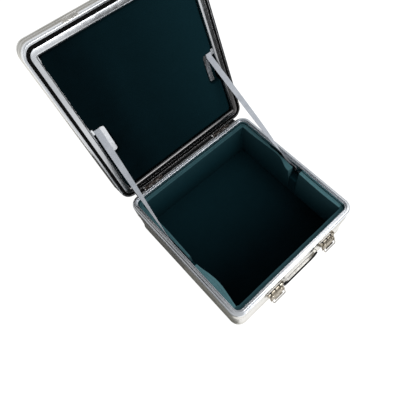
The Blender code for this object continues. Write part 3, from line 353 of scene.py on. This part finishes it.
def piece(name, bm, material, body, matrix=STILL, replaced=(), sharp=35):
    """Make an object of a bmesh that rides on a body and may stand for CAD nodes."""
    bmesh.ops.recalc_face_normals(bm, faces=bm.faces)
    bmesh.ops.transform(bm, matrix=matrix, verts=bm.verts)
    mesh = bpy.data.meshes.new(name)
    bm.to_mesh(mesh)
    bm.free()
    mesh.shade_smooth()
    mesh.set_sharp_from_angle(angle=math.radians(sharp))
    mesh.materials.append(material)
    made = bpy.data.objects.new(name, mesh)
    bpy.context.scene.collection.objects.link(made)
    if body:
        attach(made, body)
    if replaced:
        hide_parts(*replaced)
    return made


# Drawn shells: two rolled beads each, the base with a third one above its foot
BEAD_PLACES = (0.0330, 0.0495)
BEAD_RISE = 0.0019
FOOT_BEAD_UP = 0.022
FOOT_BEAD_RISE = 0.0024
FLAT_BEND = 0.013


def bead(middle, height, width=0.010, steps=8):
    """Outer points of a rolled bead, downwards."""
    points = []
    for i in range(steps + 1):
        share = i / steps
        swell = height * (0.5 - 0.5 * math.cos(math.tau * share))
        points.append((SHELL_OUT + swell, middle + width * (0.5 - share)))
    return points


def shell_section(rim, edge, foot, flat):
    """Outer face of a drawn shell from its open edge to its flat."""
    way = 1 if flat > rim else -1
    points = [(SHELL_OUT, rim + way * edge)]
    for middle in BEAD_PLACES:
        rolled = bead(rim + way * middle, BEAD_RISE)
        points += rolled if way < 0 else rolled[::-1]
    if foot:
        points += bead(flat + FOOT_BEAD_UP, FOOT_BEAD_RISE)
    points += arc((SHELL_OUT - FLAT_BEND, flat - way * FLAT_BEND), FLAT_BEND, 0, way * 90, 10)
    return points + [(-CORNER, flat)]


def shell(name, section, body, matrix, replaced):
    """One drawn shell with its wall."""
    bm = bmesh.new()
    sweep(bm, section, closed=False, steps=20)
    flat = section[-1][1]
    loop = [e for e in bm.edges if e.is_boundary and all(abs(v.co.z - flat) < MERGE for v in e.verts)]
    bmesh.ops.holes_fill(bm, edges=loop, sides=0)
    bmesh.ops.recalc_face_normals(bm, faces=bm.faces)
    made = piece(name, bm, SHEET, body, matrix, (replaced,), sharp=60)
    widest = max(made.data.polygons, key=lambda p: p.area).normal
    outward = matrix.to_3x3() @ Vector((0, 0, 1 if flat > section[0][1] else -1))
    if widest.dot(outward) < 0:
        made.data.flip_normals()
    wall = made.modifiers.new("wall", "SOLIDIFY")
    wall.thickness = SHELL_WALL
    wall.offset = -1
    wall.use_even_offset = True


BASE_SHELL = shell_section(rim=RIM, edge=0.0067, foot=True, flat=0.0)
LID_SHELL = shell_section(rim=0.0, edge=0.0099, foot=False, flat=LID_DEPTH)
shell("base_shell_drawn", BASE_SHELL, "base", STILL, "base_shell")
shell("lid_shell_drawn", LID_SHELL, "lid", LID_PLAN, "lid_shell")


def smooth_step(value, start, end):
    """Ease from 0 to 1 between two values."""
    share = min(max((value - start) / (end - start), 0.0), 1.0)
    return share * share * (3 - 2 * share)


def base_painted_shade(co):
    """Painted shade and dark reflection, brown, under the hinges, along the rear rim and most on its outer
    half.
    """
    to_corner = (0.196, 0.212)
    up_flange = (RIM - 0.014, RIM - 0.003)
    over_rim = (0.2200, 0.2222)
    outer_half = (0.2300, 0.2318)
    beside = 1 - smooth_step(abs(co.x), *to_corner)
    flange = smooth_step(co.z, *up_flange)
    outer = 0.25 * smooth_step(co.y, *outer_half)
    return beside * flange * (0.75 * smooth_step(co.y, *over_rim) + outer)


def lid_painted_shade(co):
    """Painted shade and dark reflection, brown, along the lid's hinge side and, less, along its right side.
    """
    over_band = (0.2040, 0.2090)
    off_front = (-0.16, -0.04)
    outer_face = (HALF + 0.0130, HALF + 0.0142)
    off_edge = (0.002, 0.006)
    rear = 0.86 * smooth_step(co.y, *over_band)
    right = 0.88 * smooth_step(co.x, *over_band) * smooth_step(co.y, *off_front)
    outside = smooth_step(max(abs(co.x), abs(co.y)), *outer_face)
    return max(rear, right) * (1 - outside * smooth_step(co.z, *off_edge))


# Extruded frames and the gasket
def ring(name, section, radius, material, body, matrix, replaced, worn=None):
    """A frame or strip of constant section round the case."""
    bm = bmesh.new()
    sweep(bm, soften(section, radius), closed=True)
    # The values of worn are painted shade and dark reflection, mixed into the frame's colour
    if worn:
        painted_shade = bm.verts.layers.float.new("painted_shade")
        for vert in bm.verts:
            vert[painted_shade] = worn(vert.co)
    piece(name, bm, material, body, matrix, (replaced,), sharp=50)


# Points of each section as outset and height: the base's lip, tongue and flange, the lid's flange, rolled
# inner band and groove, and the gasket with its ridge
BAND_CENTRE = (-0.008, 0.0075)
BAND_INNER = 0.0052
BAND_OUTER = 0.0070
BASE_SECTION = [
    (0, RIM - 0.0006), (0.0014, RIM - 0.0006), (0.0014, RIM - 0.0042), (0.005, RIM - 0.0042),
    (0.005, RIM + 0.0042), (0.008, RIM + 0.0042), (0.008, RIM - 0.001), (0.0126, RIM - 0.001),
    (0.0136, RIM - 0.0022), (0.0158, RIM - 0.0022), (0.0158, RIM - 0.018), (0.0143, RIM - 0.018),
    (0.0143, RIM - 0.0064), (0.0014, RIM - 0.0064), (0.0014, RIM - 0.034), (0, RIM - 0.034)]
LID_SECTION = [
    (0.0105, 0.0005), (0.0158, 0.0005), (0.0158, 0.018), (0.0143, 0.018), (0.0143, 0.0096), (0.0003, 0.0096),
    (0.0003, 0.0023), *arc(BAND_CENTRE, BAND_INNER, 270, 180, 8), (-0.0132, 0.024), (-0.015, 0.024),
    *arc(BAND_CENTRE, BAND_OUTER, 180, 270, 8), (0.0025, 0.0005), (0.0025, 0.0074), (0.0105, 0.0074)]
GASKET_SECTION = [(0.0028, 0.0071), (0.0102, 0.0071), (0.0102, 0.0057), (0.0078, 0.0057), (0.0071, 0.0046),
                  (0.0059, 0.0046), (0.0052, 0.0057), (0.0028, 0.0057)]

ring("base_frame_section", BASE_SECTION, 0.0007, SECTION, "base", STILL, "base_frame",
     base_painted_shade)
ring("lid_frame_section", LID_SECTION, 0.0007, SECTION, "lid", LID_PLAN, "lid_frame",
     lid_painted_shade)
ring("lid_gasket_strip", GASKET_SECTION, 0.0006, GASKET, "lid", LID_PLAN, "lid_gasket")


# Linings: foam panels under cloth, with a welted groove along their tops
PANEL_FOOT = FLOOR_TOP + 0.0004
FOAM_ROUND = 0.0034
PANEL_SECTION = soften([
    (LINING_FACE, LINING_TOP), (-0.0082, LINING_TOP), (-0.0074, LINING_TOP - 0.0012), (-0.0066, LINING_TOP),
    (PANEL_LIP_OUT, LINING_TOP), (PANEL_LIP_OUT, PANEL_STEP), (PANEL_OUT, PANEL_STEP),
    (PANEL_OUT, PANEL_FOOT), (LINING_FACE, PANEL_FOOT)], FOAM_ROUND, 4)
LOW_SECTION = soften([
    (LINING_FACE, LOW_TOP), (PANEL_OUT, LOW_TOP), (PANEL_OUT, PANEL_FOOT), (LINING_FACE, PANEL_FOOT)],
    FOAM_ROUND, 4)


def cut_run(section, keep, spacing=0.006):
    """A swept section cut to length by planes and divided along its level runs."""
    shortest_run = 0.03
    level = 0.0001
    bm = bmesh.new()
    sweep(bm, section, closed=True, steps=10)
    for point, normal in keep:
        whole = list(bm.verts) + list(bm.edges) + list(bm.faces)
        bmesh.ops.bisect_plane(bm, geom=whole, dist=0.000001, plane_co=point, plane_no=normal,
                               clear_outer=True)
        bmesh.ops.holes_fill(bm, edges=[e for e in bm.edges if e.is_boundary], sides=0)
    longest = max(e.calc_length() for e in bm.edges)
    runs = [e for e in bm.edges
            if e.calc_length() > shortest_run and abs(e.verts[0].co.z - e.verts[1].co.z) < level]
    bmesh.ops.subdivide_edges(bm, edges=runs, cuts=int(longest / spacing), use_grid_fill=True)
    return bm


def panel(name, parts, shape, node_name, top_light, face_light):
    """One lining panel: its runs of section, eased into shape, with painted light: its top painted pale and
    its face a little.
    """
    bm = bmesh.new()
    for part in parts:
        mesh = bpy.data.meshes.new("part")
        part.to_mesh(mesh)
        part.free()
        bm.from_mesh(mesh)
        bpy.data.meshes.remove(mesh)
    bmesh.ops.recalc_face_normals(bm, faces=bm.faces)
    bm.normal_update()
    top_light_band = (LINING_TOP - 0.0060, LINING_TOP - 0.0014)
    facing_up = (-0.2, 0.5)
    off_floor = (FLOOR_TOP, FLOOR_TOP + 0.02)
    painted_light = bm.verts.layers.float.new("painted_light")
    for vert in bm.verts:
        height = smooth_step(vert.co.z, *top_light_band)
        top = height * smooth_step(vert.normal.z, *facing_up)
        vert[painted_light] = face_light * (1 - top) + (FACE_LIGHT_LIMIT + (1 - FACE_LIGHT_LIMIT) * top_light) * top
        inside = smooth_step(vert.co.z, *off_floor)
        # A slow unevenness of the foam, and a finer one of the cloth
        uneven = 0.0007 * noise.noise(vert.co * 14.0) + 0.0003 * noise.noise(vert.co * 60.0)
        vert.co += vert.normal * uneven * inside
        if shape:
            vert.co += shape(vert.co) * inside
    made = piece(name, bm, LINING, "base", replaced=(node_name,), sharp=50)


def bulge(co, start, end, way, most, at_ends):
    """Push of a side panel's face into the case, most in the middle of its run."""
    fullness = 1.4
    low = RIM - 0.10
    share = (co.y - start) / (end - start)
    arch = math.sin(math.pi * min(max(share, 0.0), 1.0)) ** fullness
    depth = smooth_step(abs(co.x), HALF, HALF + LINING_FACE)
    high = smooth_step(co.z, low, LINING_TOP)
    return Vector((-way * depth * high * (most * arch - at_ends * (1 - arch)), 0, 0))


def left_front_shape(co):
    """The left front panel bows into the case."""
    return bulge(co, SIDE_FRONT, STAY_GAP_FRONT, -1, most=0.0065, at_ends=0.0045)


def right_front_shape(co):
    """The right front panel lies nearly straight."""
    return bulge(co, SIDE_FRONT, STAY_GAP_FRONT, 1, most=0.0010, at_ends=0.0010)


def behind_stay(co, way):
    """Room behind a rear side panel for the stay and its anchor."""
    back = HALF - 0.0052
    foot = RIM - 0.0375
    past_stay = (0.080, 0.100)
    wall = abs(co.x) - back
    if wall <= 0 or co.z < foot:
        return Vector((0, 0, 0))
    return Vector((-way * wall * (1 - smooth_step(co.y, *past_stay)), 0, 0))


def left_rear_shape(co):
    """The left rear panel narrows towards the stay."""
    thin = bulge(co, STAY_GAP_REAR, SIDE_REAR, -1, most=0.0005, at_ends=0.0020)
    return thin + behind_stay(co, -1)


def right_rear_shape(co):
    """The right rear panel's free end is pushed off the wall by the stay, and flares."""
    low = RIM - 0.09
    free_end = (0.075, STAY_GAP_REAR)
    into_waist = (0.17, 0.06)
    out_of_waist = (0.045, 0.0)
    waist = 0.0050
    off = smooth_step(co.y, *free_end)
    high = smooth_step(co.z, low, LINING_TOP)
    thin = smooth_step(co.y, *into_waist) * (1 - smooth_step(co.y, *out_of_waist)) * waist
    depth = smooth_step(abs(co.x), HALF, HALF + LINING_FACE)
    flare = (0.0030 + 0.0125 * depth) * off * off
    return Vector(((depth * thin - flare) * high, 0, 0)) + behind_stay(co, 1)


def cut_at(y, way):
    """Cutting plane across the case's depth that drops what lies past it."""
    return ((0, y, 0), way)


# Where the front and rear panels are cut at the sides, and where the side panels meet them
FACE_CUT = HALF + LINING_FACE - 0.002
SIDE_CUT = FACE_CUT - 0.0006
SIDE_SHAPES = {"left": (left_front_shape, left_rear_shape), "right": (right_front_shape, right_rear_shape)}

for side, way in (("left", -1), ("right", 1)):
    half = ((0, 0, 0), (-way, 0, 0))
    front_shape, rear_shape = SIDE_SHAPES[side]
    front_run = cut_run(PANEL_SECTION, [half, cut_at(STAY_GAP_FRONT, TO_REAR), cut_at(-SIDE_CUT, TO_FRONT)])
    panel(f"lining_{side}_front", [front_run], front_shape, f"base_lining_{side}_front",
          top_light=0.98, face_light=0.075)
    rear_run = cut_run(PANEL_SECTION, [half, cut_at(SIDE_CUT, TO_REAR), cut_at(STAY_GAP_REAR, TO_FRONT)])
    low_run = cut_run(LOW_SECTION, [half, cut_at(STAY_GAP_REAR - 0.0001, TO_REAR),
                                    cut_at(STAY_GAP_FRONT + 0.0006, TO_FRONT)])
    panel(f"lining_{side}_rear", [rear_run, low_run], rear_shape, f"base_lining_{side}_rear",
          top_light=0.60, face_light=0.075)
for side, seam, way in (("left", -0.0453, 1), ("right", -0.0447, -1)):
    run = cut_run(PANEL_SECTION, [cut_at(-FACE_CUT, TO_REAR), ((seam, 0, 0), (way, 0, 0))])
    panel(f"lining_front_{side}", [run], None, f"base_lining_front_{side}", top_light=0.32, face_light=0.0)
rear_run = cut_run(PANEL_SECTION, [cut_at(FACE_CUT, TO_FRONT)])
panel("lining_rear", [rear_run], None, "base_lining_rear", top_light=0.40, face_light=0.05)


def floor_painted_light(co):
    """Painted light: the floor pad is painted a little paler towards the hinges, away from the shade of the
    front walls.
    """
    return 0.05 * smooth_step(co.y, -0.15, 0.20)


def lid_painted_light(co):
    """Painted light: the lid pad is painted a little paler towards its right side, where the light falls."""
    return 0.018 * smooth_step(co.x, -0.16, -0.05) + 0.035 * smooth_step(co.x, -0.05, 0.24)


def padded_form(name, source, body, voxel, rounds, swell, painted_light_at, shape=None):
    """Foam pad under cloth, grown from its CAD block: rounded edges and a slightly uneven face."""
    mesh = source.data.copy()
    mesh.name = name
    made = bpy.data.objects.new(name, mesh)
    bpy.context.scene.collection.objects.link(made)
    remesh = made.modifiers.new("remesh", "REMESH")
    remesh.mode = "VOXEL"
    remesh.voxel_size = voxel
    bpy.context.view_layer.update()
    done = bpy.data.meshes.new_from_object(made.evaluated_get(bpy.context.evaluated_depsgraph_get()))
    made.modifiers.clear()
    made.data = done
    bm = bmesh.new()
    bm.from_mesh(done)
    for _ in range(rounds):
        bmesh.ops.smooth_vert(bm, verts=bm.verts, factor=0.5, use_axis_x=True, use_axis_y=True,
                              use_axis_z=True)
    bm.normal_update()
    # Painted light: the pad is painted paler where light falls on it
    painted_light = bm.verts.layers.float.new("painted_light")
    for vert in bm.verts:
        vert[painted_light] = painted_light_at(vert.co)
        uneven = noise.noise(vert.co * 18.0) + 0.5 * noise.noise(vert.co * 55.0)
        vert.co += vert.normal * swell * uneven
        if shape:
            vert.co += shape(vert.co)
    bm.to_mesh(done)
    bm.free()
    done.shade_smooth()
    done.materials.clear()
    done.materials.append(LINING)
    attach(made, body)
    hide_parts(source.name)


LID_INVERSE = LID_PLACE.inverted()


def over_band(co):
    """The lid pad's left edge laps over the rolled band, except beside the stay's clamp."""
    to_edge = (-0.1930, -0.2070)
    to_face = (0.030, 0.012)
    past_clamp = (0.236, 0.262)
    before_clamp = (0.165, 0.055)
    push = Vector((-0.0052, 0, -0.0114))
    local = LID_INVERSE @ co
    along = -local.y
    edge = smooth_step(local.x, *to_edge) * smooth_step(local.z, *to_face)
    lap = max(smooth_step(along, *past_clamp), smooth_step(along, *before_clamp))
    return LID_PLACE.to_3x3() @ push * edge * lap


PAD_VOXEL = 0.0045
padded_form("lining_floor", NODES["base_lining_floor"], "base", PAD_VOXEL, rounds=4, swell=0.0007,
            painted_light_at=floor_painted_light)
padded_form("lining_lid", NODES["lid_lining_pad"], "lid", PAD_VOXEL, rounds=6, swell=0.0008,
            painted_light_at=lid_painted_light, shape=over_band)


# Stays
def lid_point(x, along, deep):
    """Point of the open lid from its width, distance from the hinge and depth."""
    return LID_PLACE @ Vector((x, -along, deep))


def span(start, end, across_start, across_end, steps, lag):
    """Stations of a straight run that turns between two directions, late where it lags."""
    made = []
    along = (end - start).normalized()
    for i in range(steps + 1):
        share = i / steps
        across = across_start.lerp(across_end, share ** lag)
        across = (across - along * across.dot(along)).normalized()
        made.append((start.lerp(end, share), across, along.cross(across)))
    return made


def ribbon(stations):
    """A woven strap through its stations, with soft edges and UV in metres along its length."""
    bm = bmesh.new()
    uv = bm.loops.layers.uv.new("UVMap")
    profile = soften([(0.5, 0.5), (-0.5, 0.5), (-0.5, -0.5), (0.5, -0.5)], 0.25, 2)
    rings = []
    run = 0.0
    for i, (centre, across, out) in enumerate(stations):
        if i:
            run += (centre - stations[i - 1][0]).length
        ring_verts = [bm.verts.new(centre + across * a * STAY_WIDTH + out * b * STAY_THICK)
                      for a, b in profile]
        rings.append((ring_verts, run))
    count = len(profile)
    for (low, v0), (high, v1) in zip(rings, rings[1:]):
        for k in range(count):
            follow = (k + 1) % count
            quad = bm.faces.new((low[k], low[follow], high[follow], high[k]))
            here = profile[k][0]
            there = profile[follow][0]
            values = ((here, v0), (there, v0), (there, v1), (here, v1))
            for loop, (a, v) in zip(quad.loops, values):
                loop[uv].uv = (a * STAY_WIDTH, v)
    for verts, _ in (rings[0], rings[-1]):
        bmesh.ops.contextual_create(bm, geom=verts)
    return bm


def stay(side, way):
    """One webbing stay, as it hangs with the lid open. The left one lies over the lining's edge."""
    clamp_x = way * (HALF - 0.030)
    clamp_deep = 0.012
    clamp_end = 0.2432
    clamp_edge = 0.2262
    flat = Vector((way, 0, 0))
    wall = Vector((0, 0, -1))
    lid_end = lid_point(clamp_x, clamp_end, clamp_deep)
    lid_edge = lid_point(clamp_x, clamp_edge, clamp_deep)
    anchor_x = way * (HALF - 0.0009)
    tail = Vector((anchor_x, -0.022, STAY_LEVEL))
    anchor = Vector((anchor_x, 0.002, STAY_LEVEL))
    stations = span(lid_end, lid_edge, flat, flat, steps=3, lag=1)
    if way < 0:
        turn = Vector((way * (HALF - 0.0026), 0.078, RIM - 0.014))
        run = Vector((anchor_x, 0.046, STAY_LEVEL))
        stations += span(lid_edge, turn, flat, wall, steps=60, lag=0.75)[1:]
        stations += span(run, anchor, wall, wall, steps=12, lag=1)[:-1]
    else:
        lead = anchor + Vector((-0.0011, 0.005, 0.004))
        stations += span(lid_edge, lead, flat, wall, steps=70, lag=3.2)[1:]
    stations += span(anchor, tail, wall, wall, steps=3, lag=1)
    made = piece(f"stay_{side}_webbing", ribbon(stations), WEBBING, None, replaced=(f"stay_strap_{side}",),
                 sharp=60)
    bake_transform(made)


stay("left", -1)
stay("right", 1)


# Finishes of the hardware that the CAD gives whole
for name, cad in NODES.items():
    if name.startswith("stay_anchor"):
        finish = ENAMEL
    elif name.startswith("stay_clamp"):
        finish = SECTION
    elif name.startswith("hinge"):
        finish = SHADED_HINGE_STEEL
    elif name.startswith(("latch_lever", "latch_bail", "latch_plate")):
        finish = SHADED_NICKEL
    elif name.startswith(("latch", "handle")):
        finish = PLATE
    else:
        continue
    for held in cad.material_slots:
        held.material = finish


# Rubber edge of the drop handle
def handle_edge():
    """Moulded rubber channel pressed over the outer edge of the handle's flat bail."""
    half = 0.064
    bend = 0.014
    drop = 0.040
    top = 0.0100
    section = soften([
        (-0.0060, -0.0036), (-0.0060, -0.0072), (0.0048, -0.0072), (0.0048, 0.0052), (-0.0045, 0.0052),
        (-0.0045, 0.0036), (0.0002, 0.0036), (0.0002, -0.0036)], 0.0016)
    bm = bmesh.new()
    verts = [bm.verts.new((-half - out, y, -top)) for out, y in section]
    edges = [bm.edges.new(pair) for pair in zip(verts, verts[1:] + verts[:1])]
    ends = [edges]
    bends = ((-half + bend, (0, 0, top + bend - drop)), (half - bend, (2 * (half - bend), 0, 0)))
    for centre, run in bends:
        drawn = bmesh.ops.extrude_edge_only(bm, edges=edges)["geom"]
        fresh = [g for g in drawn if isinstance(g, bmesh.types.BMVert)]
        bmesh.ops.translate(bm, vec=run, verts=fresh)
        edges = [g for g in drawn if isinstance(g, bmesh.types.BMEdge) and all(v in fresh for v in g.verts)]
        spun = bmesh.ops.spin(bm, geom=edges + fresh, cent=(centre, 0, bend - drop), axis=(0, 1, 0),
                              angle=-math.pi / 2, steps=10)
        edges = [g for g in spun["geom_last"] if isinstance(g, bmesh.types.BMEdge)]
    drawn = bmesh.ops.extrude_edge_only(bm, edges=edges)["geom"]
    fresh = [g for g in drawn if isinstance(g, bmesh.types.BMVert)]
    bmesh.ops.translate(bm, vec=(0, 0, drop - bend - top), verts=fresh)
    ends.append([g for g in drawn if isinstance(g, bmesh.types.BMEdge) and all(v in fresh for v in g.verts)])
    for end in ends:
        bmesh.ops.edgeloop_fill(bm, edges=end)
    bmesh.ops.remove_doubles(bm, verts=bm.verts, dist=MERGE)
    piece("handle_edge_rubber", bm, GRIP, "handle", Matrix.Translation((0, *HANDLE_PIN)),
          ("handle_grip",), sharp=50)


handle_edge()


# Painted shade: black rings between the knuckles of each latch's lever, drawn as rubber washers, for the
# shadowed gaps there
def knuckle_shade_rings(name, places, radius, width, body):
    """Turned rings round an axis along X."""
    bm = bmesh.new()
    bore = radius * 0.6
    side = width / 2
    rim = soften([(-side, bore), (side, bore), (side, radius), (-side, radius)], 0.0004, 2)
    for place in places:
        verts = [bm.verts.new((x, 0, z)) for x, z in rim]
        edges = [bm.edges.new(pair) for pair in zip(verts, verts[1:] + verts[:1])]
        bmesh.ops.spin(bm, geom=verts + edges, cent=(0, 0, 0), axis=(1, 0, 0), angle=math.tau, steps=20,
                       use_merge=True)
        fresh = [v for v in bm.verts if not v.tag]
        bmesh.ops.translate(bm, vec=place, verts=fresh)
        for vert in fresh:
            vert.tag = True
    bmesh.ops.remove_doubles(bm, verts=bm.verts, dist=FINE_MERGE)
    piece(name, bm, GRIP, body)


for side, way in (("left", -1), ("right", 1)):
    row = [(way * LATCH_X + k * KNUCKLE_PITCH, *LEVER_PIN) for k in (-1, 0, 1)]
    knuckle_shade_rings(f"latch_washers_{side}", row, radius=0.0036, width=0.0042, body=f"lever_{side}")


# Painted shade: a black strip, drawn as a seal, that closes the gap behind the rear rim, between and beside
# the hinges
def gap_shade_strip():
    """Black strip of L section below the hinge line, standing in for the shade in the gap."""
    end = 0.2040
    clear = 0.0012
    profile = soften([
        (0.2387, RIM - 0.0035), (0.2515, RIM - 0.0068), (0.2515, RIM - 0.0092), (0.2404, RIM - 0.0085),
        (0.2404, RIM - 0.0150), (0.2387, RIM - 0.0150)], 0.0010)
    low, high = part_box("hinge_leaf_base_right")
    inner = low[0] - clear
    outer = high[0] + clear
    bm = bmesh.new()
    for start, stop in ((-end, -outer), (-inner, inner), (outer, end)):
        verts = [bm.verts.new((start, y, z)) for y, z in profile]
        face = bmesh.ops.contextual_create(bm, geom=verts)["faces"]
        drawn = bmesh.ops.extrude_face_region(bm, geom=face)["geom"]
        fresh = [g for g in drawn if isinstance(g, bmesh.types.BMVert)]
        bmesh.ops.translate(bm, vec=(stop - start, 0, 0), verts=fresh)
    piece("rear_gap_shade_strip", bm, GRIP, "base", sharp=50)


gap_shade_strip()


# Rivets
def rivets(name, places, outward, body, matrix=STILL, radius=0.0026, rise=0.0012, material=PLATE):
    """A row of low domed rivet heads on one face."""
    bm = bmesh.new()
    turn = Vector((0, 0, 1)).rotation_difference(Vector(outward)).to_matrix().to_4x4()
    dome = [(radius, 0.0), (radius * 0.94, rise * 0.45), (radius * 0.7, rise * 0.82), (radius * 0.35, rise),
            (0, rise)]
    for place in places:
        verts = [bm.verts.new((r, 0, z)) for r, z in dome]
        edges = [bm.edges.new(pair) for pair in zip(verts, verts[1:])]
        bmesh.ops.spin(bm, geom=verts + edges, cent=(0, 0, 0), axis=(0, 0, 1), angle=math.tau, steps=16)
        fresh = [v for v in bm.verts if not v.tag]
        bmesh.ops.transform(bm, matrix=Matrix.Translation(place) @ turn, verts=fresh)
        for vert in fresh:
            vert.tag = True
    bmesh.ops.remove_doubles(bm, verts=bm.verts, dist=FINE_MERGE)
    bmesh.ops.holes_fill(bm, edges=[e for e in bm.edges if e.is_boundary], sides=0)
    piece(name, bm, material, body, matrix)


SMALL_HEAD = 0.0020
BRACKET_THICK = 0.0018
PAIR = (-1, 1)
# Half the spacing of the rivets in each plate
LATCH_SPREAD = 0.021
KEEPER_SPREAD = 0.012
BRACKET_SPREAD = 0.0052
LEAF_SPREAD = 0.022
ANCHOR_SPREAD = 0.0075

for side, way in (("left", -1), ("right", 1)):
    x = way * LATCH_X
    # The latch rivets are black as painted shade, for the shadowed openings of the latch
    rows = [(x + k * LATCH_SPREAD, FRONT_FACE - LATCH_THICK, z)
            for z in (RIM - 0.009, RIM - 0.043) for k in PAIR]
    rivets(f"latch_rivets_{side}", rows, TO_FRONT, "base", material=ENAMEL)
    row = [(x + k * KEEPER_SPREAD, -HINGE_Y + FRONT_FACE - LATCH_THICK, 0.0125) for k in PAIR]
    rivets(f"keeper_rivets_{side}", row, TO_FRONT, "lid", LID_PLACE)
    row = [(way * HANDLE_END_X, FRONT_FACE - BRACKET_THICK, HANDLE_PIN[1] + k * BRACKET_SPREAD)
           for k in PAIR]
    rivets(f"bracket_rivets_{side}", row, TO_FRONT, "base", radius=SMALL_HEAD)
    leaf = [(way * HINGE_X + k * LEAF_SPREAD, -0.0019, 0.018) for k in (-1, 0, 1)]
    rivets(f"hinge_rivets_lid_{side}", leaf, TO_REAR, "lid", LID_PLACE)
    row = [(a, HINGE_Y + b, RIM - c) for a, b, c in leaf]
    rivets(f"hinge_rivets_base_{side}", row, TO_REAR, "base")
    row = [(way * (HALF - 0.0032), -0.010 + k * ANCHOR_SPREAD, STAY_LEVEL) for k in PAIR]
    rivets(f"anchor_rivets_{side}", row, (-way, 0, 0), "base", radius=SMALL_HEAD, material=ENAMEL)


# Stage, light and camera
def stage_sheet(name, size, matrix, material):
    """A flat sheet of the studio."""
    bm = bmesh.new()
    bmesh.ops.create_grid(bm, x_segments=1, y_segments=1, size=0.5)
    bmesh.ops.scale(bm, vec=(size[0], size[1], 1), verts=bm.verts)
    bmesh.ops.transform(bm, matrix=matrix, verts=bm.verts)
    mesh = bpy.data.meshes.new(name)
    bm.to_mesh(mesh)
    bm.free()
    mesh.materials.append(material)
    made = bpy.data.objects.new(name, mesh)
    bpy.context.scene.collection.objects.link(made)
    return made


def paper_finish(name, low, high, glow):
    """Matt studio paper with a faint mottle that may glow a little."""
    made, tree, shader, place = new_material(name, high, 0.9, 0.0)
    mottle = node(tree, "TexNoise", None, {"Vector": place, "Scale": 3.0, "Detail": 4.0})
    tone = node(tree, "Mix", {"data_type": "RGBA"},
                {0: mottle.outputs["Fac"], 6: colour(low), 7: colour(high)})
    tree.links.new(tone.outputs[2], shader.inputs["Base Color"])
    if glow:
        shader.inputs["Emission Color"].default_value = colour("#ffffff")
        shader.inputs["Emission Strength"].default_value = glow
    return made


# Light table: evenly lit from below, so white that no shadow shows on it
TABLE_SIZE = (12, 12)
TABLE_DROP = Matrix.Translation((0, 0, -0.0002))
TABLE_PAPER = paper_finish("light_table", "#808080", "#8c8c8c", glow=0.92)
stage_sheet("light_table", TABLE_SIZE, TABLE_DROP, TABLE_PAPER)


def flag(name, low, high, height, dark, pale):
    """A level card that only the metal sees, as a photographer's flag."""
    place = Matrix.Translation(((low[0] + high[0]) / 2, (low[1] + high[1]) / 2, height))
    made = stage_sheet(name, (high[0] - low[0], high[1] - low[1]), place, paper_finish(name, dark, pale, 0))
    hide_from_view(made)


def stand_flag(name, size, place, aim, dark, pale):
    """A card on a stand, turned towards the case."""
    turn = (Vector(aim) - Vector(place)).to_track_quat("-Z", "Y").to_matrix().to_4x4()
    made = stage_sheet(name, size, Matrix.Translation(place) @ turn, paper_finish(name, dark, pale, 0))
    hide_from_view(made)


def hide_from_view(made):
    """Leave a card to reflections alone."""
    for ray in ("camera", "diffuse", "shadow", "transmission", "volume_scatter"):
        setattr(made, "visible_" + ray, False)


# Cards as their near left and far right corners, height and two greys, each placed for a band of the metal
flag("ground_flag_rear", (-1.14, 0.02), (-0.2387, 0.60), 0.0005, "#262624", "#3a3a37")
flag("ground_flag_front", (-1.14, -0.26), (-0.2387, 0.02), 0.0004, "#66655f", "#807f78")
flag("sky_flag_left", (-0.9, 0.08), (0.22, 1.10), 2.15, "#1b1c1e", "#242528")
flag("sky_flag_rear", (-0.9, 1.10), (1.12, 2.10), 2.16, "#84807a", "#96928b")
flag("sky_flag_corner", (1.12, 0.70), (2.10, 2.10), 2.17, "#b4b9be", "#c3c8cc")
flag("ground_flag_right", (0.42, -1.80), (1.90, -0.36), 0.0006, "#090a0a", "#101111")
stand_flag("stand_flag_right", size=(1.8, 1.00), place=(1.20, -1.30, 0.50), aim=(1.20, 0.0, 0.50),
           dark="#090a0a", pale="#101111")


def light(name, place, aim, size, watts):
    """A soft square white light aimed at a point."""
    data = bpy.data.lights.new(name, "AREA")
    data.shape = "SQUARE"
    data.size = size
    data.energy = watts
    made = bpy.data.objects.new(name, data)
    made.location = place
    made.rotation_euler = (Vector(aim) - Vector(place)).to_track_quat("-Z", "Y").to_euler()
    bpy.context.scene.collection.objects.link(made)


light("key_front", place=(0.5, -1.9, 1.9), aim=(0, 0.1, 0.2), size=1.2, watts=26)
light("top_right", place=(1.1, -0.45, 2.3), aim=(0.6, -0.1, 0.1), size=1.2, watts=5.5)

world = bpy.data.worlds.new("studio_world")
bpy.context.scene.world = world
world.use_nodes = True
background = world.node_tree.nodes["Background"]
background.inputs["Color"].default_value = colour("#f4f6f8")
background.inputs["Strength"].default_value = 0.70
bpy.context.scene.view_settings.view_transform = "Standard"

# Camera solved from the photo's rim and lid
camera_data = bpy.data.cameras.new("photo_camera")
camera_data.sensor_width = 36.0
camera_data.lens = 33.292
camera_data.shift_x = -0.0905
camera_data.shift_y = 0.0342
camera = bpy.data.objects.new("photo_camera", camera_data)
right = Vector((0.72625, -0.68725, -0.01557))
up = Vector((0.62988, 0.65621, 0.41551))
back = Vector((-0.27535, -0.31157, 0.90945))
turn = Matrix((right, up, back)).transposed().to_4x4()
eye = (-0.3294, -0.3512, 1.1595)
camera.matrix_world = Matrix.Translation(eye) @ turn
bpy.context.scene.collection.objects.link(camera)
bpy.context.scene.camera = camera
